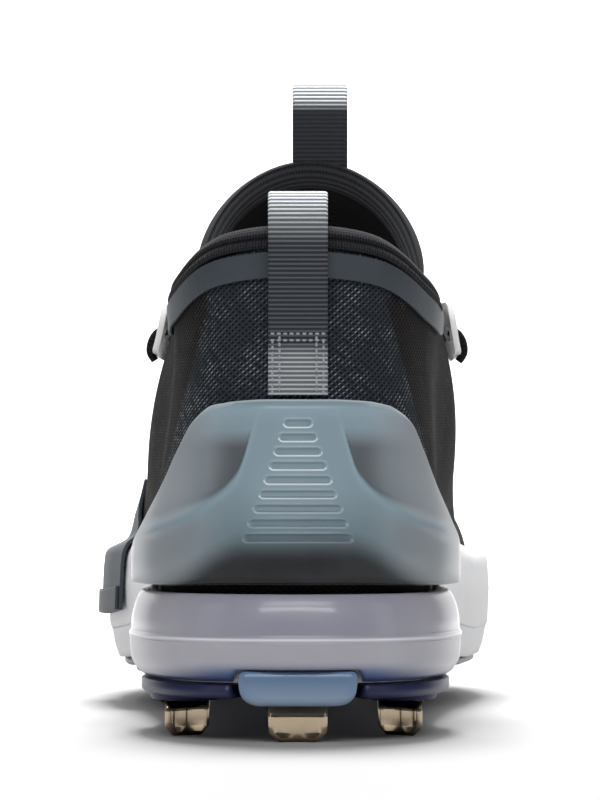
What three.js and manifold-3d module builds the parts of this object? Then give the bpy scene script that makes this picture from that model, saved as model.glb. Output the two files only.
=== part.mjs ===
// A baseball cleat with metal spikes, left foot, built as its maker would put it together.
// Millimetres, +Z up, toe towards +Y, lateral side towards -X, spike tips on Z = 0.
import * as THREE from "three";
import Module from "manifold-3d";

const wasm = await Module();
wasm.setup();

// Driving dimensions, in millimetres.
const LENGTH = 300;
const BALL_WIDTH = 108;
const GAP = 0.3; // between pieces that meet
const FIT = 0.45; // between curved pieces that nest
const SPIKE_HEIGHT = 9;
const SPIKE_WIDTH = 14.5;
const SPIKE_THICKNESS = 2.4;
const SPIKE_BEND = 1.1;
const PAD_HEIGHT = 1.6; // spike pads stand below the plate by this
const PAD_MARGIN = 1.7;
const PLATE_THICKNESS = 5; // outsole plate under the heel
const PLATE_ROUNDING = 1.2;
const BLOCK_WIDTH = 29.5; // moulded block at the back of the heel
const BLOCK_DEPTH = 13;
const BLOCK_RISE = 3.6; // above the plate
const BLOCK_ROUNDING = 2.6;
const HEEL_FOAM = 16; // midsole under the heel
const TOE_SPRING = 9;
const SIDEWALL = 7.5; // the midsole stands out past the foot of the upper by this
const RIM_HEIGHT = 18; // midsole sidewall above the footbed at the ball
const COLLAR_RISE = 89.3; // footbed to the top line at the back of the heel
const UPPER_WALL = 2.4;
const COLLAR_PADDING = 3.4;
const INSOLE_THICKNESS = 4;
const CRADLE_WALL = 4.7; // clear cradle round the midsole's heel
const CRADLE_RISE = 5.6; // footbed to the cradle's top
const COUNTER_WALL = 3; // clear heel counter above the cradle
const COUNTER_BELLY = 2.4;
const COUNTER_START = 7.8; // footbed to the counter's lower edge
const COUNTER_RISE = 52.7; // footbed to its top edge at the back
const SCALLOP_DEPTH = 1.7;
const RUNG_COUNT = 9;
const RUNG_START = 6.1; // the counter's top edge to the middle of the top slot
const RUNG_PITCH = 3.42;
const RUNG_HEIGHT = 1.9;
const RUNG_DEPTH = 0.8;
const RUNG_TOP_WIDTH = 6.8;
const RUNG_GROWTH = 2.3; // each slot is wider than the one above by this
const CUT = 12; // length of a cutter, more than any wall it goes through
const EYESTAY_THICKNESS = 1.2;
const EYESTAY_WIDTH = 13;
const EYELET_BORE = 4.4;
const EYELET_INSET = 6.4;
const WING_THICKNESS = 1.6;
const WING_HEIGHT = 14.5;
const WING_DROP = 4; // its upper end below the top line
const WING_FLARE = 1.8;
const PANEL_THICKNESS = 2.2; // slate panel that wraps over the lateral sidewall
const PANEL_TOP = 17; // above the sidewall's rim
const BAND_HEIGHT = 6.8; // collar band under the binding
const BAND_TAPER = 0.5; // share of that height lost by the band's two ends
const BAND_THICKNESS = 0.9;
const BINDING_HEIGHT = 5.8;
const BINDING_OVERHANG = 0.4;
const WEBBING_WIDTH = 14.6;
const WEBBING_THICKNESS = 1.4;
const HEEL_LOOP_RISE = 14.2; // top line to the top of the heel's pull loop
const HEEL_LOOP_INSIDE = 11; // top line down to the loop's inner end
const BOX_HEIGHT = 14; // the loop's sewn foot over the counter
const LOOP_BEND = 6; // height over which a loop turns round at its top
const TONGUE_LOOP_SHIFT = 2.6; // to the medial side of the tongue's middle
const TONGUE_THICKNESS = 4.6;
const TONGUE_WIDTH = 60;
const TONGUE_LOOP_RISE = 20.5; // top of the tongue to the top of its pull loop
const MEDIAL_SHIFT = 3.2; // instep and tongue lie this far to the medial side
const LACE_WIDTH = 5;
const LACE_THICKNESS = 2;
const LACE_LIFT = 1.2; // lace off the eyestay at an eyelet
const TURN = 60; // columns round the shoe
const WALL_ROWS = 9;

// The wall of the upper, station by station from the back of the heel (at 0) to the tip of the toe (at 0.5).
// along, lateral and medial place its foot and the top columns its top line, as shares of LENGTH, BALL_WIDTH
// and COLLAR_RISE. lean and fold are the wall's angles at foot and top, in degrees from level and inward, and
// low and high are how far each of them is followed, as shares of the straight way between foot and top.
const WALL = [
  { at: 0, along: 0.03, lateral: 0, medial: 0,
    topAlong: 0.037, topLateral: 0, topMedial: 0, topRise: 1,
    lean: 100, fold: 97, low: 0.35, high: 0.35 },
  { at: 0.04, along: 0.053, lateral: -0.192, medial: 0.188,
    topAlong: 0.058, topLateral: -0.178, topMedial: 0.178, topRise: 0.978,
    lean: 103, fold: 97, low: 0.35, high: 0.35 },
  { at: 0.09, along: 0.14, lateral: -0.298, medial: 0.287,
    topAlong: 0.14, topLateral: -0.284, topMedial: 0.3, topRise: 0.883,
    lean: 106, fold: 97, low: 0.35, high: 0.35 },
  { at: 0.14, along: 0.25, lateral: -0.3, medial: 0.288,
    topAlong: 0.24, topLateral: -0.291, topMedial: 0.335, topRise: 0.838,
    lean: 106, fold: 95, low: 0.35, high: 0.35 },
  { at: 0.19, along: 0.36, lateral: -0.31, medial: 0.305,
    topAlong: 0.34, topLateral: -0.265, topMedial: 0.313, topRise: 0.915,
    lean: 106, fold: 65, low: 0.4, high: 0.35 },
  { at: 0.245, along: 0.483, lateral: -0.352, medial: 0.34,
    topAlong: 0.45, topLateral: -0.194, topMedial: 0.245, topRise: 0.76,
    lean: 104, fold: 42, low: 0.45, high: 0.38 },
  { at: 0.305, along: 0.607, lateral: -0.42, medial: 0.4,
    topAlong: 0.56, topLateral: -0.125, topMedial: 0.165, topRise: 0.57,
    lean: 103, fold: 32, low: 0.44, high: 0.42 },
  { at: 0.365, along: 0.74, lateral: -0.42, medial: 0.44,
    topAlong: 0.633, topLateral: -0.085, topMedial: 0.125, topRise: 0.46,
    lean: 101, fold: 25, low: 0.43, high: 0.42 },
  { at: 0.425, along: 0.872, lateral: -0.325, medial: 0.38,
    topAlong: 0.665, topLateral: -0.038, topMedial: 0.083, topRise: 0.41,
    lean: 96, fold: 20, low: 0.44, high: 0.42 },
  { at: 0.465, along: 0.944, lateral: -0.175, medial: 0.26,
    topAlong: 0.674, topLateral: -0.01, topMedial: 0.055, topRise: 0.397,
    lean: 96, fold: 18, low: 0.44, high: 0.42 },
  { at: 0.5, along: 0.972, lateral: 0.06, medial: 0.06,
    topAlong: 0.677, topLateral: 0.022, topMedial: 0.022, topRise: 0.392,
    lean: 96, fold: 18, low: 0.44, high: 0.42 },
];

// The sole's side at such stations: how far it reaches at its widest (flare), at its base (tuck) and at the
// outsole plate's edge (plate), as shares of SIDEWALL; and its rim above the footbed, of RIM_HEIGHT.
const SIDE = [
  { at: 0, flare: 0.6, tuck: 0.5, plate: 0.6, rim: 0.28 },
  { at: 0.04, flare: 0.6, tuck: 0.5, plate: 0.75, rim: 0.28 },
  { at: 0.09, flare: 0.6, tuck: 0.5, plate: 0.85, rim: 0.29 },
  { at: 0.14, flare: 0.66, tuck: 0.5, plate: 0.75, rim: 0.5 },
  { at: 0.19, flare: 1, tuck: 0.55, plate: 0.4, rim: 0.88 },
  { at: 0.245, flare: 1.05, tuck: 0.55, plate: 0.3, rim: 0.97 },
  { at: 0.305, flare: 1, tuck: 0.6, plate: 0.35, rim: 1 },
  { at: 0.365, flare: 1, tuck: 0.6, plate: 0.4, rim: 0.97 },
  { at: 0.43, flare: 0.95, tuck: 0.5, plate: 0.35, rim: 0.76 },
  { at: 0.5, flare: 0.85, tuck: 0.4, plate: 0.25, rim: 0.62 },
];

// The sidewall's section from its base to its rim: level of its height, and reach from tuck (0) to flare (1).
const SIDE_SECTION = [
  { level: 0, reach: 0 },
  { level: 0.1, reach: 0.35 },
  { level: 0.24, reach: 0.6 },
  { level: 0.3, reach: 0.86 },
  { level: 0.62, reach: 1 },
  { level: 0.88, reach: 0.85 },
  { level: 1, reach: 0.45 },
];

// The sole along its length: the plate's lift off the spikes as a share of TOE_SPRING, its thickness as a
// share of PLATE_THICKNESS and the foam's as a share of HEEL_FOAM.
const SOLE = [
  { along: 0, lift: 0, plate: 1, foam: 1 },
  { along: 0.18, lift: 0, plate: 1, foam: 0.98 },
  { along: 0.42, lift: 0.35, plate: 0.74, foam: 0.9 },
  { along: 0.6, lift: 0, plate: 0.7, foam: 0.75 },
  { along: 0.765, lift: 0, plate: 0.7, foam: 0.73 },
  { along: 0.9, lift: 0.42, plate: 0.7, foam: 0.69 },
  { along: 1, lift: 1, plate: 0.7, foam: 0.62 },
];

// The cradle's section from base to top: level of its height, and reach as a share of CRADLE_WALL.
const CRADLE = [
  { level: 0, reach: 0.15 },
  { level: 0.06, reach: 0.5 },
  { level: 0.2, reach: 0.95 },
  { level: 0.42, reach: 1 },
  { level: 0.47, reach: 0.9 },
  { level: 0.68, reach: 0.82 },
  { level: 0.88, reach: 0.52 },
  { level: 1, reach: 0.25 },
];
const CRADLE_END = 0.135; // its front ends, as stations

// The counter's upper edge from the back of the heel to its front ends, as a share of COUNTER_RISE.
const COUNTER = [
  { lateral: 0, medial: 0, rise: 1 },
  { lateral: 0.02, medial: 0.022, rise: 0.998 },
  { lateral: 0.033, medial: 0.037, rise: 0.985 },
  { lateral: 0.043, medial: 0.047, rise: 0.96 },
  { lateral: 0.049, medial: 0.055, rise: 0.91 },
  { lateral: 0.0565, medial: 0.062, rise: 0.81 },
  { lateral: 0.067, medial: 0.072, rise: 0.64 },
  { lateral: 0.083, medial: 0.087, rise: 0.46 },
  { lateral: 0.11, medial: 0.113, rise: 0.35 },
  { lateral: 0.15, medial: 0.15, rise: 0.27 },
];
const COUNTER_END = 0.15;

// The tongue's sections from under the vamp to its top: crown and edge places, along as shares of LENGTH,
// heights as shares of COLLAR_RISE above the footbed, half width as a share of TONGUE_WIDTH.
const TONGUE = [
  { at: 0, crownAlong: 0.707, crownRise: 0.325, edgeAlong: 0.7, edgeRise: 0.24, half: 0.3 },
  { at: 0.14, crownAlong: 0.64, crownRise: 0.443, edgeAlong: 0.633, edgeRise: 0.27, half: 0.38 },
  { at: 0.28, crownAlong: 0.567, crownRise: 0.567, edgeAlong: 0.56, edgeRise: 0.35, half: 0.45 },
  { at: 0.42, crownAlong: 0.503, crownRise: 0.7, edgeAlong: 0.49, edgeRise: 0.44, half: 0.5 },
  { at: 0.55, crownAlong: 0.45, crownRise: 0.845, edgeAlong: 0.42, edgeRise: 0.58, half: 0.53 },
  { at: 0.66, crownAlong: 0.41, crownRise: 0.97, edgeAlong: 0.347, edgeRise: 0.74, half: 0.45 },
  { at: 0.77, crownAlong: 0.383, crownRise: 1.08, edgeAlong: 0.31, edgeRise: 0.83, half: 0.45 },
  { at: 0.88, crownAlong: 0.368, crownRise: 1.205, edgeAlong: 0.292, edgeRise: 0.89, half: 0.47 },
  { at: 1, crownAlong: 0.36, crownRise: 1.31, edgeAlong: 0.284, edgeRise: 0.94, half: 0.49 },
];

// Where the spikes stand, as shares of LENGTH and BALL_WIDTH, and their turn about the vertical in degrees.
const SPIKES = [
  { name: "spike_heel_rear", along: 0.03, across: 0, turn: 0 },
  { name: "spike_heel_lateral", along: 0.122, across: -0.255, turn: 43 },
  { name: "spike_heel_medial", along: 0.122, across: 0.235, turn: -43 },
  { name: "spike_ball_rear_lateral", along: 0.6, across: -0.335, turn: 115 },
  { name: "spike_ball_rear_medial", along: 0.62, across: 0.28, turn: -115 },
  { name: "spike_ball_front_lateral", along: 0.74, across: -0.34, turn: 95 },
  { name: "spike_ball_front_medial", along: 0.755, across: 0.335, turn: -95 },
  { name: "spike_toe_lateral", along: 0.88, across: -0.185, turn: 150 },
  { name: "spike_toe_medial", along: 0.885, across: 0.245, turn: -150 },
];

const COLOURS = {
  mesh: { color: 0x2a3038, roughness: 0.9, metalness: 0 },
  foam: { color: 0xe9e9ea, roughness: 0.6, metalness: 0 },
  navy: { color: 0x252c56, roughness: 0.35, metalness: 0 },
  clear: { color: 0x8f9aa6, roughness: 0.25, metalness: 0 },
  steel: { color: 0xa8967e, roughness: 0.25, metalness: 1 },
  slate: { color: 0x4a5358, roughness: 0.55, metalness: 0 },
  white: { color: 0xf2f2f0, roughness: 0.45, metalness: 0 },
  black: { color: 0x151518, roughness: 0.9, metalness: 0 },
  webbing: { color: 0x6b727a, roughness: 0.9, metalness: 0 },
};

const clamp = THREE.MathUtils.clamp;
const radians = THREE.MathUtils.degToRad;
const ramp = THREE.MathUtils.smoothstep;
const vector = (x, y, z) => new THREE.Vector3(x, y, z);

// Smooth curve through a table's rows, read at x: a row's slope is that of the parabola through it and its
// two neighbours.
function through(rows, key, column, x) {
  let i = 0;
  while (i < rows.length - 2 && x > rows[i + 1][key]) i++;
  const slope = (k) => {
    const rise = (a, b) => (rows[b][column] - rows[a][column]) / (rows[b][key] - rows[a][key]);
    if (k === 0) return rise(0, 1);
    if (k === rows.length - 1) return rise(k - 1, k);
    const share = (rows[k][key] - rows[k - 1][key]) / (rows[k + 1][key] - rows[k - 1][key]);
    return rise(k - 1, k) * (1 - share) + rise(k, k + 1) * share;
  };
  const step = rows[i + 1][key] - rows[i][key];
  const s = clamp((x - rows[i][key]) / step, 0, 1);
  const [p, q] = [rows[i][column], rows[i + 1][column]];
  const [m, n] = [slope(i) * step, slope(i + 1) * step];
  return (2 * s ** 3 - 3 * s ** 2 + 1) * p + (s ** 3 - 2 * s ** 2 + s) * m
    + (3 * s ** 2 - 2 * s ** 3) * q + (s ** 3 - s ** 2) * n;
}

// A half table carried on round the medial side to a full turn, with two rows more at each end, so that its
// curves run smoothly through heel and toe. Each pair names the lateral and medial columns of one value.
function fullTurn(rows, pairs) {
  const row = (r, at, medial) => {
    const made = { ...r, at };
    for (const [name, lateral, other] of pairs) made[name] = medial ? r[other] : r[lateral];
    return made;
  };
  const turn = [
    ...rows.map((r) => row(r, r.at, false)),
    ...rows.slice(1, -1).reverse().map((r) => row(r, 1 - r.at, true)),
  ];
  const moved = (list, by) => list.map((r) => ({ ...r, at: r.at + by }));
  return [...moved(turn.slice(-2), -1), ...turn, ...moved(turn.slice(0, 2), 1)];
}

const wallTurn = fullTurn(WALL, [["across", "lateral", "medial"], ["topAcross", "topLateral", "topMedial"]]);
const sideTurn = fullTurn(SIDE, []);
const wrap = (at) => ((at % 1) + 1) % 1;
const fromHeel = (at) => Math.min(wrap(at), 1 - wrap(at));
const wallValue = (column, at) => through(wallTurn, "at", column, wrap(at));
const sideValue = (column, at) => SIDEWALL * through(sideTurn, "at", column, wrap(at));
const soleValue = (column, y) => through(SOLE, "along", column, y / LENGTH);

// Heights of the sole's layers at a place along the shoe.
const plateBottom = (y) => SPIKE_HEIGHT + TOE_SPRING * Math.max(soleValue("lift", y), 0);
const plateTop = (y) => plateBottom(y) + PLATE_THICKNESS * soleValue("plate", y);
const foamBottom = (y) => plateTop(y) + FIT;
const footbed = (y) => foamBottom(y) + HEEL_FOAM * soleValue("foam", y);
const seat = footbed(0);
const topLine = seat + COLLAR_RISE;

// The foot of the upper's wall, moved outwards in plan by out.
function footPoint(at, out = 0) {
  const place = (a) => new THREE.Vector2(BALL_WIDTH * wallValue("across", a), LENGTH * wallValue("along", a));
  const step = 0.002;
  const along = place(at + step).sub(place(at - step)).normalize();
  const p = place(at);
  return new THREE.Vector2(p.x - along.y * out, p.y + along.x * out);
}

// The curve of the upper's outer face at one station, from the foot of the wall to its top line.
function wallCurve(at) {
  const foot = footPoint(at);
  const out = footPoint(at, 1).sub(foot);
  const from = vector(foot.x, foot.y, footbed(foot.y) + GAP);
  const to = vector(
    BALL_WIDTH * wallValue("topAcross", at),
    LENGTH * wallValue("topAlong", at),
    seat + COLLAR_RISE * wallValue("topRise", at),
  );
  const handle = (angle, share) => vector(-out.x * Math.cos(angle), -out.y * Math.cos(angle), Math.sin(angle))
    .multiplyScalar(share * from.distanceTo(to));
  const low = from.clone().add(handle(radians(wallValue("lean", at)), wallValue("low", at)));
  const high = to.clone().sub(handle(radians(wallValue("fold", at)), wallValue("high", at)));
  return new THREE.CubicBezierCurve3(from, low, high, to);
}

const upperFace = (at, t) => wallCurve(at).getPoint(t);

// A face's outward normal, from two short steps along it.
function normalOf(face, u, v) {
  const step = 0.003;
  const across = face(u + step, v).sub(face(u - step, v));
  const up = face(u, Math.min(v + step, 1)).sub(face(u, Math.max(v - step, 0)));
  return up.cross(across).normalize();
}

const upperOut = (at, t, out) => upperFace(at, t).addScaledVector(normalOf(upperFace, at, t), out);

// The share of the wall's curve at which it reaches a height, by halving.
function shareAtHeight(at, z) {
  const curve = wallCurve(at);
  let [low, high] = [0, 1];
  for (let k = 0; k < 18; k++) {
    const middle = (low + high) / 2;
    if (curve.getPoint(middle).z < z) low = middle;
    else high = middle;
  }
  return (low + high) / 2;
}

// The share of the wall's curve that lies a distance short of the top line.
function below(at, distance) {
  const curve = wallCurve(at);
  return 1 - distance / (3 * curve.v2.distanceTo(curve.v3));
}

const upperAtHeight = (at, z, out) => upperOut(at, shareAtHeight(at, z), out);

// A closed solid from vertices and triangles, turned right side out.
function solidFrom(points, triangles) {
  let volume = 0;
  for (const [a, b, c] of triangles) volume += points[a].dot(points[b].clone().cross(points[c]));
  const faces = volume < 0 ? triangles.map(([a, b, c]) => [a, c, b]) : triangles;
  return new wasm.Manifold(new wasm.Mesh({
    numProp: 3,
    vertProperties: new Float32Array(points.flatMap((p) => p.toArray())),
    triVerts: new Uint32Array(faces.flat()),
  }));
}

// A solid between two faces over one grid of u and v; in a ring the last column meets the first.
function between(outer, inner, columns, rows, ring = false) {
  const width = ring ? columns : columns + 1;
  const points = [];
  for (const face of [outer, inner]) {
    for (let j = 0; j <= rows; j++) {
      for (let i = 0; i < width; i++) points.push(face(i / columns, j / rows));
    }
  }
  const id = (layer, i, j) => (layer * (rows + 1) + j) * width + (ring ? i % columns : i);
  const triangles = [];
  const quad = (a, b, c, d) => triangles.push([a, b, c], [a, c, d]);
  for (let j = 0; j < rows; j++) {
    for (let i = 0; i < columns; i++) {
      quad(id(0, i, j), id(0, i + 1, j), id(0, i + 1, j + 1), id(0, i, j + 1));
      quad(id(1, i, j), id(1, i, j + 1), id(1, i + 1, j + 1), id(1, i + 1, j));
    }
  }
  for (let i = 0; i < columns; i++) {
    quad(id(0, i, 0), id(1, i, 0), id(1, i + 1, 0), id(0, i + 1, 0));
    quad(id(0, i, rows), id(0, i + 1, rows), id(1, i + 1, rows), id(1, i, rows));
  }
  for (let j = 0; !ring && j < rows; j++) {
    quad(id(0, 0, j), id(0, 0, j + 1), id(1, 0, j + 1), id(1, 0, j));
    quad(id(0, columns, j), id(1, columns, j), id(1, columns, j + 1), id(0, columns, j + 1));
  }
  return solidFrom(points, triangles);
}

// A solid of closed loops, each on the next, each a function of the station. The first and last are closed by
// strips from side to side.
function stacked(loops) {
  const columns = TURN;
  const points = loops.flatMap((loop) => Array.from({ length: columns }, (_, i) => loop(i / columns)));
  const triangles = [];
  for (let j = 0; j + 1 < loops.length; j++) {
    for (let i = 0; i < columns; i++) {
      const [a, b] = [j * columns + i, j * columns + ((i + 1) % columns)];
      triangles.push([a, b, b + columns], [a, b + columns, a + columns]);
    }
  }
  const last = (loops.length - 1) * columns;
  for (let i = 0; i < columns / 2; i++) {
    const [a, b, c, d] = [i, i + 1, (columns - i) % columns, columns - i - 1];
    for (const [p, q, r] of [[a, d, b], [a, c, d]]) {
      if (p === q || q === r || r === p) continue;
      triangles.push([p, q, r], [last + p, last + r, last + q]);
    }
  }
  return solidFrom(points, triangles);
}

// A three.js geometry as a solid, its vertices merged by place.
function solidOf(geometry) {
  const position = geometry.getAttribute("position");
  const index = geometry.index ? Array.from(geometry.index.array) : [...Array(position.count).keys()];
  const points = [];
  const seen = new Map();
  const merged = index.map((i) => {
    const p = vector().fromBufferAttribute(position, i);
    const key = p.toArray().map((x) => Math.round(x * 1e4)).join();
    if (!seen.has(key)) seen.set(key, points.push(p) - 1);
    return seen.get(key);
  });
  const triangles = [];
  for (let i = 0; i < merged.length; i += 3) {
    const face = merged.slice(i, i + 3);
    if (new Set(face).size === 3) triangles.push(face);
  }
  return solidFrom(points, triangles);
}

// Webbing of the given width about x, its middle line running through points of y and z.
function webbing(x, points, steps) {
  const line = new THREE.SplineCurve(points.map(([y, z]) => new THREE.Vector2(y, z)));
  const edge = (side) => Array.from({ length: steps + 1 }, (_, k) => {
    const along = line.getTangentAt(k / steps);
    const p = line.getPointAt(k / steps);
    const off = (side * WEBBING_THICKNESS) / 2;
    return new THREE.Vector2(p.x - along.y * off, p.y + along.x * off);
  });
  const outline = new THREE.Shape([...edge(1), ...edge(-1).reverse()]);
  const geometry = new THREE.ExtrudeGeometry(outline, { depth: WEBBING_WIDTH, bevelEnabled: false });
  geometry.applyMatrix4(new THREE.Matrix4().makeBasis(vector(0, 1, 0), vector(0, 0, 1), vector(1, 0, 0)));
  geometry.translate(x - WEBBING_WIDTH / 2, 0, 0);
  return solidOf(geometry);
}

// The upper: one hollow wall on the last, open at the collar and throat and underneath.
function wallThickness(at, t) {
  const padded = (1 - ramp(fromHeel(at), 0.1, 0.19)) * ramp(t, 0.55, 0.9);
  return UPPER_WALL + COLLAR_PADDING * padded;
}
const upperInside = (at, t) => upperOut(at, t, -wallThickness(at, t));
const makeUpper = () => between(upperFace, upperInside, TURN, WALL_ROWS, true);

// The midsole: a sidewall with a step, a rim, and a floor inside it that closes the upper below.
const rimTop = (at) => footbed(footPoint(at).y) + (RIM_HEIGHT * sideValue("rim", at)) / SIDEWALL;

function sidePoint(at, level, reach, extra = 0) {
  const [tuck, flare] = [sideValue("tuck", at), sideValue("flare", at)];
  const low = foamBottom(footPoint(at, tuck).y);
  const p = footPoint(at, tuck + (flare - tuck) * reach + extra);
  return vector(p.x, p.y, low + (rimTop(at) - low) * level);
}

function makeMidsole() {
  const outside = SIDE_SECTION.map((row) => (at) => sidePoint(at, row.level, row.reach));
  const inside = [1, 0.6, 0.25].map((share) => (at) => {
    const floor = footbed(footPoint(at).y);
    return upperAtHeight(at, floor + (rimTop(at) - floor) * share, FIT);
  });
  const floor = (at) => {
    const p = footPoint(at, FIT);
    return vector(p.x, p.y, footbed(footPoint(at).y));
  };
  return stacked([...outside, ...inside, floor]);
}

// A moulded block closes the back of the heel and carries the rear spike.
function makeBlock(grow = 0) {
  const back = footPoint(0, sideValue("flare", 0) + GAP + CRADLE_WALL * 0.5).y - grow;
  const [half, low, high] = [BLOCK_WIDTH / 2 + grow, plateBottom(0) - grow, plateTop(0) + BLOCK_RISE + grow];
  const r = BLOCK_ROUNDING;
  const shape = new THREE.Shape();
  shape.absarc(half - r, low + r, r, -Math.PI / 2, 0);
  shape.absarc(half - r, high - r, r, 0, Math.PI / 2);
  shape.absarc(r - half, high - r, r, Math.PI / 2, Math.PI);
  shape.absarc(r - half, low + r, r, Math.PI, 1.5 * Math.PI);
  const geometry = new THREE.ExtrudeGeometry(shape, {
    depth: BLOCK_DEPTH + 2 * grow, bevelEnabled: false, curveSegments: 2,
  });
  geometry.rotateX(Math.PI / 2);
  geometry.translate(0, back + BLOCK_DEPTH + 2 * grow, 0);
  return solidOf(geometry);
}

const spikePlace = (spike) => [BALL_WIDTH * spike.across, LENGTH * spike.along];

// The outsole plate, with a low pad over each spike and a notch for the heel block.
function makePlate() {
  const loop = (inset, level) => (at) => {
    const p = footPoint(at, sideValue("plate", at) - inset);
    const low = plateBottom(p.y) + PAD_HEIGHT;
    return vector(p.x, p.y, low + (plateTop(p.y) - low) * level);
  };
  const slab = stacked([loop(PLATE_ROUNDING, 0), loop(0, 0.35), loop(0, 1)]);
  return SPIKES.slice(1).reduce((plate, spike) => plate.add(makePad(spike)), slab).subtract(makeBlock(GAP));
}

function makePad(spike) {
  const [x, y] = spikePlace(spike);
  const radius = SPIKE_WIDTH / 2 + PAD_MARGIN;
  const height = PAD_HEIGHT * 1.5;
  const pad = new THREE.CylinderGeometry(radius + PAD_HEIGHT / 2, radius, height, 8);
  pad.rotateX(Math.PI / 2);
  pad.translate(x, y, plateBottom(y) + height / 2);
  return solidOf(pad);
}

// One spike: a bent steel blade with its lower corners cut, standing under its pad.
function makeSpike(spike) {
  const [x, y] = spikePlace(spike);
  const widths = [0.66, 0.95, 1];
  const levels = [0, 0.24, 1];
  const face = (side) => (u, v) => {
    const row = Math.round(v * 2);
    const across = (u - 0.5) * SPIKE_WIDTH * widths[row];
    const bend = SPIKE_BEND * (1 - (2 * u - 1) ** 2);
    return vector(across, bend + side * SPIKE_THICKNESS * 0.5, (SPIKE_HEIGHT - GAP) * levels[row])
      .applyAxisAngle(vector(0, 0, 1), radians(spike.turn))
      .add(vector(x, y, plateBottom(y) - SPIKE_HEIGHT));
  };
  return between(face(1), face(-1), 4, 2);
}

// The insole lies inside the foot of the upper, on the midsole's floor.
function makeInsole() {
  const loop = (inset, level) => (at) => {
    const p = footPoint(at, -UPPER_WALL - FIT - inset);
    return vector(p.x, p.y, footbed(footPoint(at).y) + GAP + INSOLE_THICKNESS * level);
  };
  return stacked([loop(0.4, 0), loop(0, 0.8), loop(1.2, 1), loop(9, 0.75)]);
}

// The clear cradle goes round the midsole's heel.
function makeCradle() {
  const station = (u) => (2 * u - 1) * CRADLE_END;
  const point = (u, level, reach) => {
    const at = station(u);
    const foam = Math.max(sideValue("flare", at), sideValue("tuck", at));
    const p = footPoint(at, foam + GAP + CRADLE_WALL * reach);
    const low = foamBottom(p.y) + GAP;
    return vector(p.x, p.y, low + (seat + CRADLE_RISE - low) * level);
  };
  const row = (v) => CRADLE[Math.round(v * (CRADLE.length - 1))];
  const outer = (u, v) => point(u, row(v).level, row(v).reach);
  const inner = (u, v) => point(u, row(v).level, 0);
  return between(outer, inner, 22, CRADLE.length - 1).subtract(makeBlock(GAP));
}

// The clear counter lies on the back of the upper, with a ladder of slots down its spine and a thumb-shaped
// scallop on each side of it.
const counterLow = (at) => Math.max(seat + COUNTER_START, rimTop(at) + FIT);
const counterHigh = (at) =>
  seat + COUNTER_RISE * through(COUNTER, at < 0 ? "medial" : "lateral", "rise", Math.abs(at));

function counterThickness(at, z) {
  const level = (z - seat) / COUNTER_RISE;
  const belly = Math.exp(-(((level - 0.35) / 0.2) ** 2)) * ramp(level, 0.14, 0.3);
  const edge = 1 - 0.45 * ramp(z, counterHigh(at) - 4, counterHigh(at));
  const side = Math.abs(upperAtHeight(at, z, 0).x) / BALL_WIDTH;
  const floor = 0.46 + 0.46 * Math.exp(-side / 0.1);
  const inside = ramp(level, floor - 0.04, floor + 0.04) * (1 - ramp(level, 0.83, 0.88));
  const scallop = ramp(side, 0.08, 0.125) * inside;
  return COUNTER_WALL * edge + COUNTER_BELLY * belly - SCALLOP_DEPTH * scallop * (1 - ramp(side, 0.29, 0.35));
}

function makeCounter() {
  const face = (out) => (u, v) => {
    const at = (2 * u - 1) * COUNTER_END;
    const z = counterLow(at) + (counterHigh(at) - counterLow(at)) * v;
    return upperAtHeight(at, z, FIT + out(at, z));
  };
  let counter = between(face(counterThickness), face(() => 0), 30, 8);
  for (let k = 0; k < RUNG_COUNT; k++) counter = counter.subtract(makeRung(k));
  return counter;
}

function makeRung(k) {
  const z = seat + COUNTER_RISE - RUNG_START - k * RUNG_PITCH;
  const r = RUNG_HEIGHT / 2;
  const half = (RUNG_TOP_WIDTH + k * RUNG_GROWTH) / 2 - r;
  const shape = new THREE.Shape();
  shape.absarc(-half, 0, r, Math.PI / 2, 1.5 * Math.PI);
  shape.absarc(half, 0, r, -Math.PI / 2, Math.PI / 2);
  const cut = new THREE.ExtrudeGeometry(shape, { depth: CUT, bevelEnabled: false, curveSegments: 1 });
  cut.rotateX(Math.PI / 2);
  cut.translate(0, upperAtHeight(0, z, FIT + counterThickness(0, z)).y + RUNG_DEPTH, z);
  return solidOf(cut);
}

// Panels sewn to the upper: each runs between two stations and two distances short of the top line.
function panel(from, to, high, low, inner, outer, columns, rows) {
  const face = (out) => (u, v) => {
    const at = from + (to - from) * u;
    const [a, b] = [below(at, low(at)), below(at, high(at))];
    return upperOut(at, a + (b - a) * v, out(u, v));
  };
  return between(face(outer), face(inner), columns, rows);
}
const flat = (value) => () => value;

const THROAT_TOP = 0.2; // station where the throat's edge starts
const EYELETS = [0.224, 0.248, 0.273, 0.299, 0.33, 0.368]; // stations of the eyelet pairs, from the top down

const eyestayOut = FIT + EYESTAY_THICKNESS;
const bandLow = (at) => BAND_HEIGHT * (1 - BAND_TAPER * ramp(Math.abs(at), 0.08, 0.18));
const makeCollarBand = () => panel(-THROAT_TOP, THROAT_TOP, flat(0.3), bandLow,
  flat(FIT), flat(FIT + BAND_THICKNESS), 30, 1);

function eyeletHole(at, distance) {
  const t = below(at, distance);
  const drill = new THREE.CylinderGeometry(EYELET_BORE / 2, EYELET_BORE / 2, CUT, 6);
  const turn = new THREE.Quaternion().setFromUnitVectors(vector(0, 1, 0), normalOf(upperFace, at, t));
  drill.applyQuaternion(turn);
  drill.translate(...upperFace(at, t).toArray());
  return solidOf(drill);
}

function makeEyestay() {
  let stay = panel(THROAT_TOP + 0.004, 1 - THROAT_TOP - 0.004, flat(0.3), flat(EYESTAY_WIDTH),
    flat(FIT), flat(eyestayOut), 30, 2);
  for (const at of EYELETS) {
    stay = stay.subtract(eyeletHole(at, EYELET_INSET)).subtract(eyeletHole(1 - at, EYELET_INSET));
  }
  return stay;
}

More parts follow.
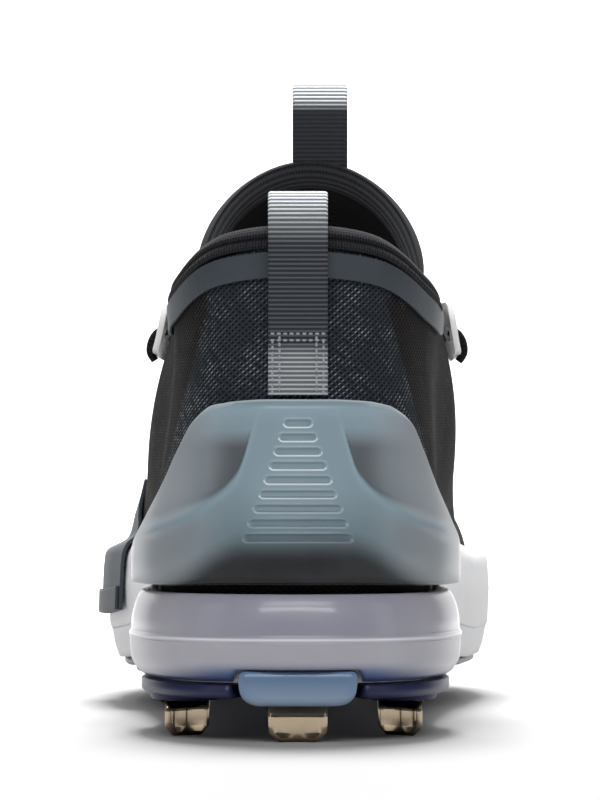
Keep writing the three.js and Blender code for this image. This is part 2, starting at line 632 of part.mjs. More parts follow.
// White wings at the top eyelets, which stand away from the upper towards their upper end.
const WING_STATIONS = [0.186, 0.216];
function makeWing(medial) {
  const [a, b] = medial ? [1 - WING_STATIONS[0], 1 - WING_STATIONS[1]] : WING_STATIONS;
  const rest = eyestayOut + GAP;
  const flare = (v) => WING_FLARE * v * v;
  const wing = panel(a, b, flat(WING_DROP), flat(WING_DROP + WING_HEIGHT),
    (u, v) => rest + flare(v), (u, v) => rest + WING_THICKNESS + flare(v), 3, 4);
  return wing.subtract(eyeletHole((a + b) / 2, WING_DROP + WING_HEIGHT * 0.45));
}

// The slate panel lies on the lateral side of the upper, goes over the sidewall's rim and down its outside.
const PANEL_STATIONS = [0.258, 0.335];
const PANEL_LEVELS = [1, 0.88, 0.62, 0.4];
function makePanel() {
  const face = (out) => (u, v) => {
    const at = PANEL_STATIONS[0] + (PANEL_STATIONS[1] - PANEL_STATIONS[0]) * u;
    const row = Math.round(v * 6);
    if (row < 3) return upperAtHeight(at, rimTop(at) + GAP + PANEL_TOP * (1 - row / 2.4), FIT + out);
    const level = PANEL_LEVELS[row - 3];
    const reach = through(SIDE_SECTION, "level", "reach", level);
    return sidePoint(at, level, reach, FIT + out);
  };
  return between(face(PANEL_THICKNESS), face(0), 9, 6);
}

// Knitted binding on the collar's edge, from one end of the throat round the heel to the other.
function makeBinding() {
  const section = (u, angle) => {
    const at = (2 * u - 1) * THROAT_TOP;
    const [outer, inner] = [upperFace(at, 1), upperInside(at, 1)];
    const half = outer.distanceTo(inner) / 2 + BINDING_OVERHANG;
    const across = outer.clone().sub(inner).normalize();
    return outer.add(inner).multiplyScalar(0.5)
      .addScaledVector(across, Math.cos(angle) * half)
      .addScaledVector(wallCurve(at).getTangent(1), FIT + Math.sin(angle) * (BINDING_HEIGHT - FIT));
  };
  const arch = (u, v) => section(u, v * Math.PI);
  const base = (u, v) => section(u, 0).lerp(section(u, Math.PI), 0.1 + 0.8 * v);
  return between(arch, base, 30, 4);
}

// The tongue: a bent pad under the throat, its top standing above the collar.
function tonguePoint(s, share, out) {
  const value = (column) => through(TONGUE, "at", column, s);
  const angle = (share - 0.5) * Math.PI;
  const rise = (column) => seat + COLLAR_RISE * value(column);
  const edge = [LENGTH * value("edgeAlong"), rise("edgeRise")];
  const crown = [LENGTH * value("crownAlong"), rise("crownRise")];
  const half = TONGUE_WIDTH * value("half");
  const reach = Math.hypot(crown[0] - edge[0], crown[1] - edge[1]);
  const [a, b] = [half - out, reach - out];
  const [dy, dz] = [(crown[0] - edge[0]) / reach, (crown[1] - edge[1]) / reach];
  return vector(
    MEDIAL_SHIFT + a * Math.sin(angle),
    edge[0] + dy * b * Math.cos(angle),
    edge[1] + dz * b * Math.cos(angle),
  );
}
function makeTongue() {
  const face = (depth) => (share, s) => tonguePoint(s, share, depth);
  const past = (at, t) => wallCurve(at).getTangent(1).multiplyScalar(t === 1 ? FIT : 0);
  const grown = between(
    (at, t) => upperOut(at, t, FIT).add(past(at, t)),
    (at, t) => upperOut(at, t, -wallThickness(at, t) - FIT).add(past(at, t)),
    TURN, WALL_ROWS, true,
  );
  const left = between(face(0), face(TONGUE_THICKNESS), 12, 10).subtract(grown).decompose();
  return left.sort((a, b) => b.volume() - a.volume())[0];
}

// The pull loops: one over the back of the collar, one on the front of the tongue.
function makeHeelLoop() {
  const back = (z, out) => upperAtHeight(0, z, out);
  const half = WEBBING_THICKNESS / 2;
  const start = back(seat + COUNTER_RISE + 1, FIT + half);
  const box = back(seat + COUNTER_RISE + 1 + BOX_HEIGHT, FIT + half);
  const lineY = upperFace(0, 1).y;
  const inY = upperInside(0, 1).y;
  const low = topLine - HEEL_LOOP_INSIDE;
  const end = back(low, -wallThickness(0, 1) - 3 * FIT - half);
  const top = topLine + HEEL_LOOP_RISE - half;
  return webbing(0, [
    [start.y, start.z],
    [box.y, box.z],
    [lineY - 3.6, topLine - 4],
    [lineY - 3.4, top - LOOP_BEND],
    [(lineY + inY) / 2 - 1, top],
    [inY + 2.6, top - LOOP_BEND],
    [inY + 3.2, topLine],
    [end.y, end.z],
  ], 18);
}

function makeTongueLoop() {
  const half = WEBBING_THICKNESS / 2;
  const at = (s) => tonguePoint(s, 0.5, -half - FIT);
  const top = seat + COLLAR_RISE * TONGUE[TONGUE.length - 1].crownRise + TONGUE_LOOP_RISE - half;
  const [foot, mid, head] = [at(0.8), at(0.9), at(1)];
  return webbing(MEDIAL_SHIFT + TONGUE_LOOP_SHIFT, [
    [foot.y, foot.z],
    [mid.y, mid.z],
    [head.y, head.z],
    [head.y - 0.5, top - LOOP_BEND],
    [head.y + 3.6, top],
    [head.y + 7.6, top - LOOP_BEND],
    [head.y + 6.8, head.z],
    [mid.y + 3.6, mid.z],
    [foot.y + 2, foot.z + 2],
  ], 18);
}

// The lace: flat crossings from eyelet to eyelet over the tongue, joined into one solid.
function tongueHeight(y) {
  let [low, high] = [0, 1];
  for (let k = 0; k < 18; k++) {
    const middle = (low + high) / 2;
    if (tonguePoint(middle, 0.5, 0).y > y) low = middle;
    else high = middle;
  }
  return tonguePoint(low, 0.5, 0).z;
}

function makeCrossing(from, to) {
  const off = eyestayOut + LACE_LIFT + LACE_THICKNESS / 2;
  const eyelet = (at) => upperOut(at, below(at, EYELET_INSET), off);
  const edge = (at) => upperOut(at, 1, off);
  const overEdge = 0.14; // share of the crossing that lies on the eyestay
  const [a, b] = [eyelet(from), eyelet(to)];
  const [p, q] = [edge(from + (1 - to - from) * overEdge), edge(to + (1 - from - to) * overEdge)];
  const crown = p.clone().lerp(q, 0.5);
  crown.z = Math.max(crown.z, tongueHeight(crown.y) + LACE_LIFT + LACE_THICKNESS);
  const line = new THREE.CatmullRomCurve3([a, p, crown, q, b], false, "centripetal");
  const [start, end] = [normalOf(upperFace, from, 1), normalOf(upperFace, to, 1)];
  const face = (side) => (u, v) => {
    const along = line.getTangentAt(u);
    const across = along.clone().cross(start.clone().lerp(end, u)).normalize();
    return line.getPointAt(u).addScaledVector(across, (v - 0.5) * LACE_WIDTH)
      .addScaledVector(across.clone().cross(along), side * LACE_THICKNESS * 0.5);
  };
  return between(face(1), face(-1), 6, 1);
}

function makeLace() {
  const last = EYELETS[EYELETS.length - 1];
  let lace = makeCrossing(last, 1 - last);
  for (let k = 0; k + 1 < EYELETS.length; k++) {
    const [upper, lower] = [EYELETS[k], EYELETS[k + 1]];
    lace = lace.add(makeCrossing(upper, 1 - lower)).add(makeCrossing(lower, 1 - upper));
  }
  return lace;
}

const pieces = [
  ["upper", makeUpper(), COLOURS.mesh],
  ["midsole", makeMidsole().subtract(makeBlock(GAP)), COLOURS.foam],
  ["insole", makeInsole(), COLOURS.black],
  ["outsole_plate", makePlate(), COLOURS.navy],
  ["rear_spike_block", makeBlock(), COLOURS.clear],
  ...SPIKES.map((spike) => [spike.name, makeSpike(spike), COLOURS.steel]),
  ["heel_cradle", makeCradle(), COLOURS.clear],
  ["heel_counter", makeCounter(), COLOURS.clear],
  ["collar_band", makeCollarBand(), COLOURS.slate],
  ["collar_binding", makeBinding(), COLOURS.black],
  ["eyestay", makeEyestay(), COLOURS.slate],
  ["eyelet_wing_lateral", makeWing(false), COLOURS.white],
  ["eyelet_wing_medial", makeWing(true), COLOURS.white],
  ["lateral_panel", makePanel(), COLOURS.slate],
  ["tongue", makeTongue(), COLOURS.black],
  ["heel_pull_loop", makeHeelLoop(), COLOURS.webbing],
  ["tongue_pull_loop", makeTongueLoop(), COLOURS.webbing],
  ["lace", makeLace(), COLOURS.black],
];

const group = new THREE.Group();
for (const [name, solid, look] of pieces) {
  const made = solid.getMesh();
  const geometry = new THREE.BufferGeometry();
  geometry.setAttribute("position", new THREE.BufferAttribute(new Float32Array(made.vertProperties), 3));
  geometry.setIndex(Array.from(made.triVerts));
  geometry.computeVertexNormals();
  const mesh = new THREE.Mesh(geometry, new THREE.MeshStandardMaterial(look));
  mesh.name = name;
  group.add(mesh);
}

// The origin goes to the middle of the footprint, on the ground.
const box = new THREE.Box3().setFromObject(group);
group.position.set(-(box.min.x + box.max.x) / 2, -(box.min.y + box.max.y) / 2, -box.min.z);
group.updateMatrixWorld(true);

export default group;
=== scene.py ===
# %% [markdown]
# # A baseball cleat, seen from behind
# This lesson dresses a plain CAD model of a left-foot baseball cleat with metal spikes. The CAD gives every
# piece its place. Here each piece is made again as a fine surface worked out with numpy, and gets a material
# that is named for what the real one is made of. Lengths are in millimetres until a mesh is made.

# %% Load the frame
import math

import bmesh
import bpy
import numpy as np
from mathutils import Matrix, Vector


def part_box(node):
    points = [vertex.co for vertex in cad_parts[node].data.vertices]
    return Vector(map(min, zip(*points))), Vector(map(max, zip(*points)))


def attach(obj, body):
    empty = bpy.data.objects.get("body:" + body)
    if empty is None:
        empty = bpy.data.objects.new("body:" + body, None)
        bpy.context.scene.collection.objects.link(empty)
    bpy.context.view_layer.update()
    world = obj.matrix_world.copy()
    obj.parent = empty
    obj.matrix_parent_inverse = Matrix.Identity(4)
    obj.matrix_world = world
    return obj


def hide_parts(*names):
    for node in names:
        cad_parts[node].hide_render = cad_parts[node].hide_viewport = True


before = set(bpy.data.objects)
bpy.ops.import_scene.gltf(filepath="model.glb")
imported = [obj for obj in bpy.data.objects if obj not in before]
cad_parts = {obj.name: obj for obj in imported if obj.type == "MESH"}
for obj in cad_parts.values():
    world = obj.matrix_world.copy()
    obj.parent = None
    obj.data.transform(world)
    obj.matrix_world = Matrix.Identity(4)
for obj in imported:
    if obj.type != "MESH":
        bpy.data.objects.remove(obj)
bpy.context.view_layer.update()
print("nodes:", len(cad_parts))

# %% [markdown]
# ## Camera first
# The photograph looks level at the back of the heel from about 1.1 m behind it. The camera stands on the
# shoe's middle line, a little lower than the middle of the frame, and the frame takes in the one shoe.

# %% Camera
VIEW_DISTANCE = 1100.0
VIEW_HEIGHT = 72.0
FRAME_HEIGHT = 193.0
FRAME_MIDDLE = 83.0


def look(obj, place, target):
    """Puts an object at a place in millimetres and turns its -Z axis to the target, its Y axis up."""
    obj.location = [x / 1000 for x in place]
    way = np.subtract(target, place)
    flat = math.hypot(way[0], way[1])
    obj.rotation_euler = (math.pi / 2 + math.atan2(way[2], flat), 0, math.atan2(-way[0], way[1]))


block_low, block_high = [np.array(p) * 1000 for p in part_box("rear_spike_block")]
HEEL_X, HEEL_Y = (block_low[0] + block_high[0]) / 2 + 0.5, block_low[1]
camera_data = bpy.data.cameras.new("camera")
camera_data.sensor_width = 36
camera_data.lens = 36 * VIEW_DISTANCE / FRAME_HEIGHT
camera = bpy.data.objects.new("camera", camera_data)
bpy.context.scene.collection.objects.link(camera)
look(camera, (HEEL_X, HEEL_Y - VIEW_DISTANCE, VIEW_HEIGHT), (HEEL_X, HEEL_Y, FRAME_MIDDLE))
bpy.context.scene.camera = camera
print("lens:", round(camera_data.lens, 1), "mm")

# %% [markdown]
# ## The shoe's numbers
# The same named sizes and tables that shaped the CAD. Each row of the wall's table is a station round the
# shoe, from the back of the heel at 0 to the tip of the toe at 0.5; the other half is the medial side.

# %% Sizes and tables
LENGTH, BALL_WIDTH = 300.0, 108.0
GAP, FIT = 0.3, 0.45
SPIKE_HEIGHT, SPIKE_WIDTH, SPIKE_THICKNESS, SPIKE_BEND = 9.0, 14.5, 2.4, 1.1
PAD_HEIGHT, PAD_MARGIN = 1.6, 1.7
PLATE_THICKNESS, PLATE_ROUNDING = 5.0, 1.2
BLOCK_WIDTH, BLOCK_DEPTH, BLOCK_RISE = 29.5, 13.0, 3.6
HEEL_FOAM, TOE_SPRING, SIDEWALL, RIM_HEIGHT = 16.0, 9.0, 7.5, 18.0
COLLAR_RISE, UPPER_WALL, COLLAR_PADDING = 89.3, 2.4, 3.4
INSOLE_THICKNESS = 4.0
CRADLE_WALL, CRADLE_RISE, CRADLE_END = 4.7, 5.6, 0.135
COUNTER_WALL, COUNTER_BELLY, COUNTER_START, COUNTER_RISE, COUNTER_END = 3.0, 2.4, 7.8, 52.7, 0.15
RUNG_COUNT, RUNG_PITCH, RUNG_HEIGHT, RUNG_TOP_WIDTH, RUNG_GROWTH, RUNG_START = 9, 3.42, 1.9, 6.8, 2.3, 6.1
EYESTAY_THICKNESS, EYESTAY_WIDTH, EYELET_BORE, EYELET_INSET = 1.2, 13.0, 4.4, 6.4
WING_THICKNESS, WING_HEIGHT, WING_DROP, WING_FLARE = 1.6, 14.5, 4.0, 1.8
PANEL_THICKNESS, PANEL_TOP = 2.2, 17.0
BAND_HEIGHT, BAND_THICKNESS, BAND_TAPER = 6.8, 0.9, 0.5
BINDING_HEIGHT, BINDING_OVERHANG = 5.8, 0.4
WEBBING_WIDTH, WEBBING_THICKNESS = 14.6, 1.4
HEEL_LOOP_RISE, TONGUE_LOOP_RISE = 14.2, 20.5
TONGUE_THICKNESS, TONGUE_WIDTH, MEDIAL_SHIFT = 4.6, 60.0, 3.2
LACE_WIDTH, LACE_THICKNESS, LACE_LIFT = 5.0, 2.0, 1.2
THROAT_TOP = 0.2
EYELETS = [0.224, 0.248, 0.273, 0.299, 0.33, 0.368]
WING_STATIONS = (0.186, 0.216)
PANEL_STATIONS = (0.258, 0.335)

WALL = np.array([
    # station, along, lateral, medial, top: along, lateral, medial, rise; lean, fold, low, high
    [0, .03, 0, 0, .037, 0, 0, 1, 100, 97, .35, .35],
    [.04, .053, -.192, .188, .058, -.178, .178, .978, 103, 97, .35, .35],
    [.09, .14, -.298, .287, .14, -.284, .3, .883, 106, 97, .35, .35],
    [.14, .25, -.3, .288, .24, -.291, .335, .838, 106, 95, .35, .35],
    [.19, .36, -.31, .305, .34, -.265, .313, .915, 106, 65, .4, .35],
    [.245, .483, -.352, .34, .45, -.194, .245, .76, 104, 42, .45, .38],
    [.305, .607, -.42, .4, .56, -.125, .165, .57, 103, 32, .44, .42],
    [.365, .74, -.42, .44, .633, -.085, .125, .46, 101, 25, .43, .42],
    [.425, .872, -.325, .38, .665, -.038, .083, .41, 96, 20, .44, .42],
    [.465, .944, -.175, .26, .674, -.01, .055, .397, 96, 18, .44, .42],
    [.5, .972, .06, .06, .677, .022, .022, .392, 96, 18, .44, .42],
])
SIDE = np.array([
    # station, flare, tuck, plate, rim
    [0, .6, .5, .6, .28], [.04, .6, .5, .75, .28], [.09, .6, .5, .85, .29], [.14, .66, .5, .75, .5],
    [.19, 1, .55, .4, .88], [.245, 1.05, .55, .3, .97], [.305, 1, .6, .35, 1], [.365, 1, .6, .4, .97],
    [.43, .95, .5, .35, .76], [.5, .85, .4, .25, .62],
])
SOLE = np.array([
    # along, lift, plate, foam
    [0, 0, 1, 1], [.18, 0, 1, .98], [.42, .35, .74, .9], [.6, 0, .7, .75], [.765, 0, .7, .73],
    [.9, .42, .7, .69], [1, 1, .7, .62],
])
TONGUE = np.array([
    # share, crown along, crown rise, edge along, edge rise, half width
    [0, .707, .325, .7, .24, .3], [.14, .64, .443, .633, .27, .38], [.28, .567, .567, .56, .35, .45],
    [.42, .503, .7, .49, .44, .5], [.55, .45, .845, .42, .58, .53], [.66, .41, .97, .347, .74, .45],
    [.77, .383, 1.08, .31, .83, .45], [.88, .368, 1.205, .292, .89, .47], [1, .36, 1.31, .284, .94, .49],
])
SPIKES = {
    # name: along, across, turn in degrees
    "spike_heel_rear": (.03, 0, 0),
    "spike_heel_lateral": (.122, -.255, 43),
    "spike_heel_medial": (.122, .235, -43),
    "spike_ball_rear_lateral": (.6, -.335, 115),
    "spike_ball_rear_medial": (.62, .28, -115),
    "spike_ball_front_lateral": (.74, -.34, 95),
    "spike_ball_front_medial": (.755, .335, -95),
    "spike_toe_lateral": (.88, -.185, 150),
    "spike_toe_medial": (.885, .245, -150),
}
print("stations of the wall:", len(WALL))

# %% [markdown]
# ## Curves read from the tables
# A table gives a few rows. A smooth curve through them gives every value in between, for whole arrays at once.

# %% Curves through tables
def through(xs, ys, x):
    """Cubic Hermite curve through points; a point's slope is that of the parabola through its neighbours."""
    rise = np.diff(ys) / np.diff(xs)
    share = np.diff(xs)[:-1] / (xs[2:] - xs[:-2])
    slope = np.concatenate([rise[:1], rise[:-1] * (1 - share) + rise[1:] * share, rise[-1:]])
    i = np.clip(np.searchsorted(xs, x) - 1, 0, len(xs) - 2)
    step = xs[i + 1] - xs[i]
    s = np.clip((x - xs[i]) / step, 0, 1)
    return ((2 * s**3 - 3 * s**2 + 1) * ys[i] + (s**3 - 2 * s**2 + s) * slope[i] * step
            + (3 * s**2 - 2 * s**3) * ys[i + 1] + (s**3 - s**2) * slope[i + 1] * step)


def round_the_shoe(table, lateral, medial=None):
    """A column of a half table as a function of the station, carried on round the medial side to a full turn."""
    at, left = table[:, 0], table[:, lateral]
    right = left if medial is None else table[:, medial]
    at = np.concatenate([at, 1 - at[-2:0:-1]])
    value = np.concatenate([left, right[-2:0:-1]])
    xs = np.concatenate([at[-2:] - 1, at, at[:2] + 1])
    ys = np.concatenate([value[-2:], value, value[:2]])
    return lambda where: through(xs, ys, np.mod(where, 1.0))


def ramp(x, low, high):
    """Smooth step from 0 at low to 1 at high."""
    s = np.clip((np.asarray(x, float) - low) / (high - low), 0, 1)
    return s * s * (3 - 2 * s)


def unit(v):
    """Vectors over their lengths."""
    return v / np.linalg.norm(v, axis=-1, keepdims=True)


across, along = round_the_shoe(WALL, 2, 3), round_the_shoe(WALL, 1)
top_across, top_along, top_rise = round_the_shoe(WALL, 5, 6), round_the_shoe(WALL, 4), round_the_shoe(WALL, 7)
lean, fold, low_share, high_share = [round_the_shoe(WALL, k) for k in (8, 9, 10, 11)]
flare, tuck, plate_edge, rim = [round_the_shoe(SIDE, k) for k in (1, 2, 3, 4)]
print("across at the ball:", round(float(across(0.305)) * BALL_WIDTH, 1), "mm")

# %% [markdown]
# ## The sole's heights and the upper's wall
# The upper's outer face is one function of the station round the shoe and of the way up the wall. Each
# station's curve is a cubic Bezier with four points, from the foot of the wall to the top line.

# %% Sole heights
def sole(column, y):
    """A column of the sole's table at a place y along the shoe."""
    return through(SOLE[:, 0], SOLE[:, column], y / LENGTH)


def plate_bottom(y):
    return SPIKE_HEIGHT + TOE_SPRING * np.maximum(sole(1, y), 0)


def plate_top(y):
    return plate_bottom(y) + PLATE_THICKNESS * sole(2, y)


def foam_bottom(y):
    return plate_top(y) + FIT


def footbed(y):
    return foam_bottom(y) + HEEL_FOAM * sole(3, y)


SEAT = float(footbed(0.0))
TOP_LINE = SEAT + COLLAR_RISE
print("seat:", round(SEAT, 2), "top line:", round(TOP_LINE, 2))


# %% The wall of the upper
def foot(at, out=0.0):
    """Foot of the wall in plan, moved outwards by out: out times the path's direction turned a quarter."""
    def place(a):
        return np.stack([BALL_WIDTH * across(a), LENGTH * along(a)], -1)
    step = 0.002
    way = unit(place(at + step) - place(at - step))
    return place(at) + np.stack([-way[..., 1], way[..., 0]], -1) * np.asarray(out, float)[..., None]


def wall_points(at):
    """The four Bezier points of the wall at each station."""
    at = np.asarray(at, float)
    base = foot(at)
    out = foot(at, np.ones_like(at)) - base
    start = np.concatenate([base, (footbed(base[..., 1]) + GAP)[..., None]], -1)
    end = np.stack([BALL_WIDTH * top_across(at), LENGTH * top_along(at), SEAT + COLLAR_RISE * top_rise(at)], -1)
    way = np.linalg.norm(end - start, axis=-1)

    def handle(degrees, share):
        angle = np.radians(degrees)
        turn = np.stack([-out[..., 0] * np.cos(angle), -out[..., 1] * np.cos(angle), np.sin(angle)], -1)
        return turn * (share * way)[..., None]
    return start, start + handle(lean(at), low_share(at)), end - handle(fold(at), high_share(at)), end


def bezier(points, t):
    """(1-t)^3 a + 3 t (1-t)^2 b + 3 t^2 (1-t) c + t^3 d."""
    a, b, c, d = points
    return a * (1 - t)**3 + 3 * b * t * (1 - t)**2 + 3 * c * t**2 * (1 - t) + d * t**3


def upper_face(at, t):
    at, t = np.broadcast_arrays(np.asarray(at, float), np.asarray(t, float))
    return bezier(wall_points(at), t[..., None])


def upper_normal(at, t):
    """Outward unit normal: the step up the wall crossed with the step along it."""
    step = 0.003
    on = upper_face(at + step, t) - upper_face(at - step, t)
    up = upper_face(at, np.minimum(t + step, 1)) - upper_face(at, np.maximum(t - step, 0))
    return unit(np.cross(up, on))


def upper_out(at, t, out):
    """The wall's face moved out along its normal."""
    at, t, out = np.broadcast_arrays(np.asarray(at, float), np.asarray(t, float), np.asarray(out, float))
    return upper_face(at, t) + upper_normal(at, t) * out[..., None]


def share_at_height(at, z):
    """The way up the wall at which it reaches a height, by halving 18 times."""
    at, z = np.broadcast_arrays(np.asarray(at, float), np.asarray(z, float))
    heights = [p[..., 2] for p in wall_points(at)]
    low, high = np.zeros_like(z), np.ones_like(z)
    for _ in range(18):
        middle = (low + high) / 2
        short = bezier(heights, middle) < z
        low, high = np.where(short, middle, low), np.where(short, high, middle)
    return (low + high) / 2


def upper_at_height(at, z, out):
    return upper_out(at, share_at_height(at, z), out)


def below(at, distance):
    """The way up the wall at a distance short of its top line."""
    points = wall_points(at)
    return 1 - distance / (3 * np.linalg.norm(points[2] - points[3], axis=-1))


def wall_thickness(at, t):
    """Plain wall, with padding added at the heel's collar."""
    from_heel = np.minimum(np.mod(at, 1), 1 - np.mod(at, 1))
    return UPPER_WALL + COLLAR_PADDING * (1 - ramp(from_heel, 0.1, 0.19)) * ramp(t, 0.55, 0.9)


def upper_inside(at, t):
    return upper_out(at, t, -wall_thickness(at, t))


def rim_top(at):
    """Top of the midsole's rim."""
    return footbed(foot(at)[..., 1]) + RIM_HEIGHT * rim(at)


print("back of the collar:", np.round(upper_face(0.0, 1.0), 1))

# %% [markdown]
# ## From grids to meshes
# Every piece is a grid of points: rows go one way over the surface and columns the other. A grid may close on
# itself either way, like a tube or a ring, and strips may close what stays open. Its UV map is in millimetres
# along the surface, so that a weave keeps its real scale.

# %% Grid helpers
BLOCK_BACK = LENGTH * WALL[0, 1] - SIDEWALL * SIDE[0, 1] - GAP - CRADLE_WALL * 0.5
SHIFT = np.array([(block_low[0] + block_high[0]) / 2, block_low[1] - BLOCK_BACK, 0.0])
print("the CAD's shift:", np.round(SHIFT, 3))


def grid_faces(rows, columns, ring_v, ring_u):
    """Four corners for each cell, the last row or column meeting the first where the grid is a ring."""
    v, u = np.meshgrid(np.arange(rows - (not ring_v)), np.arange(columns - (not ring_u)), indexing="ij")
    v2, u2 = (v + 1) % rows, (u + 1) % columns
    return np.stack([v * columns + u, v * columns + u2, v2 * columns + u2, v2 * columns + u], -1).reshape(-1, 4)


def strips(loop, back):
    """Strips across a closed loop, from its start side to its end side."""
    k = np.arange(len(loop) // 2 - 1)
    quads = np.stack([loop[k], loop[k + 1], loop[len(loop) - 2 - k], loop[len(loop) - 1 - k]], -1)
    return quads[:, ::-1] if back else quads


def surface_map(points, ring_v, ring_u):
    """Millimetres along the surface: columns by the middle row's length, rows by each column's own."""
    closed = np.concatenate([points, points[:1]], 0) if ring_v else points
    closed = np.concatenate([closed, closed[:, :1]], 1) if ring_u else closed
    middle = closed[len(points) // 2]
    u = np.concatenate([[0], np.cumsum(np.linalg.norm(np.diff(middle, axis=0), axis=-1))])
    steps = np.linalg.norm(np.diff(closed, axis=0), axis=-1)
    v = np.concatenate([np.zeros((1, closed.shape[1])), np.cumsum(steps, axis=0)])
    return np.stack([np.broadcast_to(u, v.shape), v], -1)


def piece(name, points, material, node=None, ring_v=False, ring_u=False, ends=False,
          values=None, keep=None):
    """Makes a piece from one grid of points, or several alike, in millimetres.

    ends closes a tube's two ends or a ring's two rims, values are named numbers at the points, and keep says
    which cells stay.
    """
    grids = points if points.ndim == 4 else points[None]
    rows, columns = grids.shape[1:3]
    faces = grid_faces(rows, columns, ring_v, ring_u)
    maps = np.stack([surface_map(grid, ring_v, ring_u) for grid in grids])
    tall, wide = maps.shape[1:3]
    corners = grid_faces(tall, wide, False, False)
    if keep is not None:
        faces, corners = faces[keep.ravel()], corners[keep.ravel()]
    index = np.arange(rows * columns).reshape(rows, columns)
    caps = np.zeros((0, 4), int)
    if ends and ring_v:
        caps = np.concatenate([strips(index[:, 0], False), strips(index[:, -1], True)])
    elif ends and ring_u:
        caps = np.concatenate([strips(index[0], True), strips(index[-1], False)])
    loops = maps.reshape(len(grids), -1, 2)[:, corners.ravel()]
    loops = np.concatenate([loops, np.zeros((len(grids), caps.size, 2))], 1)
    faces = np.concatenate([faces, caps])
    faces = (faces[None] + (np.arange(len(grids)) * rows * columns)[:, None, None]).reshape(-1, 4)
    mesh = bpy.data.meshes.new(name)
    mesh.from_pydata(((grids.reshape(-1, 3) + SHIFT) / 1000).tolist(), [], faces.tolist())
    mesh.uv_layers.new(name="surface_mm").data.foreach_set("uv", loops.astype(np.float32).ravel())
    for key, value in (values or {}).items():
        layer = mesh.attributes.new(key, "FLOAT", "POINT")
        layer.data.foreach_set("value", np.broadcast_to(value, grids.shape[:3]).astype(np.float32).ravel())
    return finish_piece(name, mesh, material, node)


def finish_piece(name, mesh, material, node):
    """Smooths a mesh, turns its faces outwards and makes it an object that rides on the shoe."""
    work = bmesh.new()
    work.from_mesh(mesh)
    bmesh.ops.delete(work, geom=[v for v in work.verts if not v.link_faces], context="VERTS")
    bmesh.ops.recalc_face_normals(work, faces=work.faces)
    work.to_mesh(mesh)
    work.free()
    mesh.shade_smooth()
    mesh.materials.append(material)
    obj = bpy.data.objects.new(name, mesh)
    bpy.context.scene.collection.objects.link(obj)
    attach(obj, "root")
    if node:
        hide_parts(*([node] if isinstance(node, str) else node))
    print(name, len(mesh.polygons), "faces")
    return obj


def carried(path, side, section):
    """A section of (across, out) points carried along a path: path + across * side + out * (side x way)."""
    way = unit(np.gradient(path, axis=0))
    side = unit(side - way * np.sum(side * way, -1, keepdims=True))
    out = np.cross(side, way)
    return path[None] + section[:, None, :1] * side[None] + section[:, None, 1:] * out[None]


def rounded(corners, radius, steps=4):
    """A closed outline with each corner cut to a quadratic curve that starts a radius away on both sides."""
    corners = np.asarray(corners, float)
    before, after = np.roll(corners, 1, 0) - corners, np.roll(corners, -1, 0) - corners
    radius = np.broadcast_to(np.asarray(radius, float), len(corners))[:, None]
    far = [np.linalg.norm(d, axis=1, keepdims=True) for d in (before, after)]
    start = corners + before * np.minimum(radius / far[0], 0.5)
    end = corners + after * np.minimum(radius / far[1], 0.5)
    t = np.linspace(0, 1, steps)[None, :, None]
    curve = start[:, None] * (1 - t)**2 + 2 * corners[:, None] * t * (1 - t) + end[:, None] * t**2
    return curve.reshape(-1, 2)


def line_through(points, count):
    """A smooth path through a few points, evenly spaced, by the square root of the way between them."""
    points = np.asarray(points, float)
    knots = np.concatenate([[0], np.cumsum(np.sqrt(np.linalg.norm(np.diff(points, axis=0), axis=1)))])
    fine = np.linspace(0, knots[-1], 600)
    curve = np.stack([through(knots, points[:, k], fine) for k in range(points.shape[1])], -1)
    length = np.concatenate([[0], np.cumsum(np.linalg.norm(np.diff(curve, axis=0), axis=1))])
    even = np.linspace(0, length[-1], count)
    return np.stack([np.interp(even, length, curve[:, k]) for k in range(points.shape[1])], -1)


# %% [markdown]
# ## Materials
# Each material starts from one Principled shader with values usual for the real stuff. One function adds a
# node with its settings and links. Colours are written as they look on a screen and turned linear once.

# %% Material helpers
def paint(code):
    """An sRGB hex colour as linear red, green, blue and 1: ((c + 0.055) / 1.055)^2.4, or c / 12.92 if dark."""
    c = np.array([int(code[k:k + 2], 16) / 255 for k in (1, 3, 5)])
    return (*np.where(c <= 0.04045, c / 12.92, ((c + 0.055) / 1.055)**2.4).tolist(), 1.0)


def add(material, kind, *values, **settings):
    """Adds a shader node and gives its output in use.

    Values go to its inputs in order. A setting that starts with a capital is an input by name, any other a
    property. A socket is linked, a number or colour is set.
    """
    tree = material.node_tree
    node = tree.nodes.new("ShaderNode" + kind)
    named = {key.replace("_", " "): settings.pop(key) for key in list(settings) if key[0].isupper()}
    for key, value in settings.items():
        setattr(node, key, value)
    free = [s for s in node.inputs if s.enabled]
    given = list(zip(free, values)) + [(next(s for s in free if s.name == key), v) for key, v in named.items()]
    for socket, value in given:
        if isinstance(value, bpy.types.NodeSocket):
            tree.links.new(value, socket)
        else:
            socket.default_value = value
    return next(s for s in node.outputs if s.enabled)


def new_material(name, colour, roughness, **sockets):
    """A material with one Principled shader; its sockets are named as Blender names them, with _ for a space."""
    material = bpy.data.materials.new(name)
    material.use_nodes = True
    sockets.update(Base_Color=paint(colour), Roughness=roughness)
    for key, value in sockets.items():
        material.node_tree.nodes["Principled BSDF"].inputs[key.replace("_", " ")].default_value = value
    return material


def wire(material, **outputs):
    """Links outputs of nodes to the Principled shader's inputs."""
    shader = material.node_tree.nodes["Principled BSDF"]
    for key, output in outputs.items():
        material.node_tree.links.new(output, shader.inputs[key.replace("_", " ")])


print("white is", paint("#ffffff")[:3])

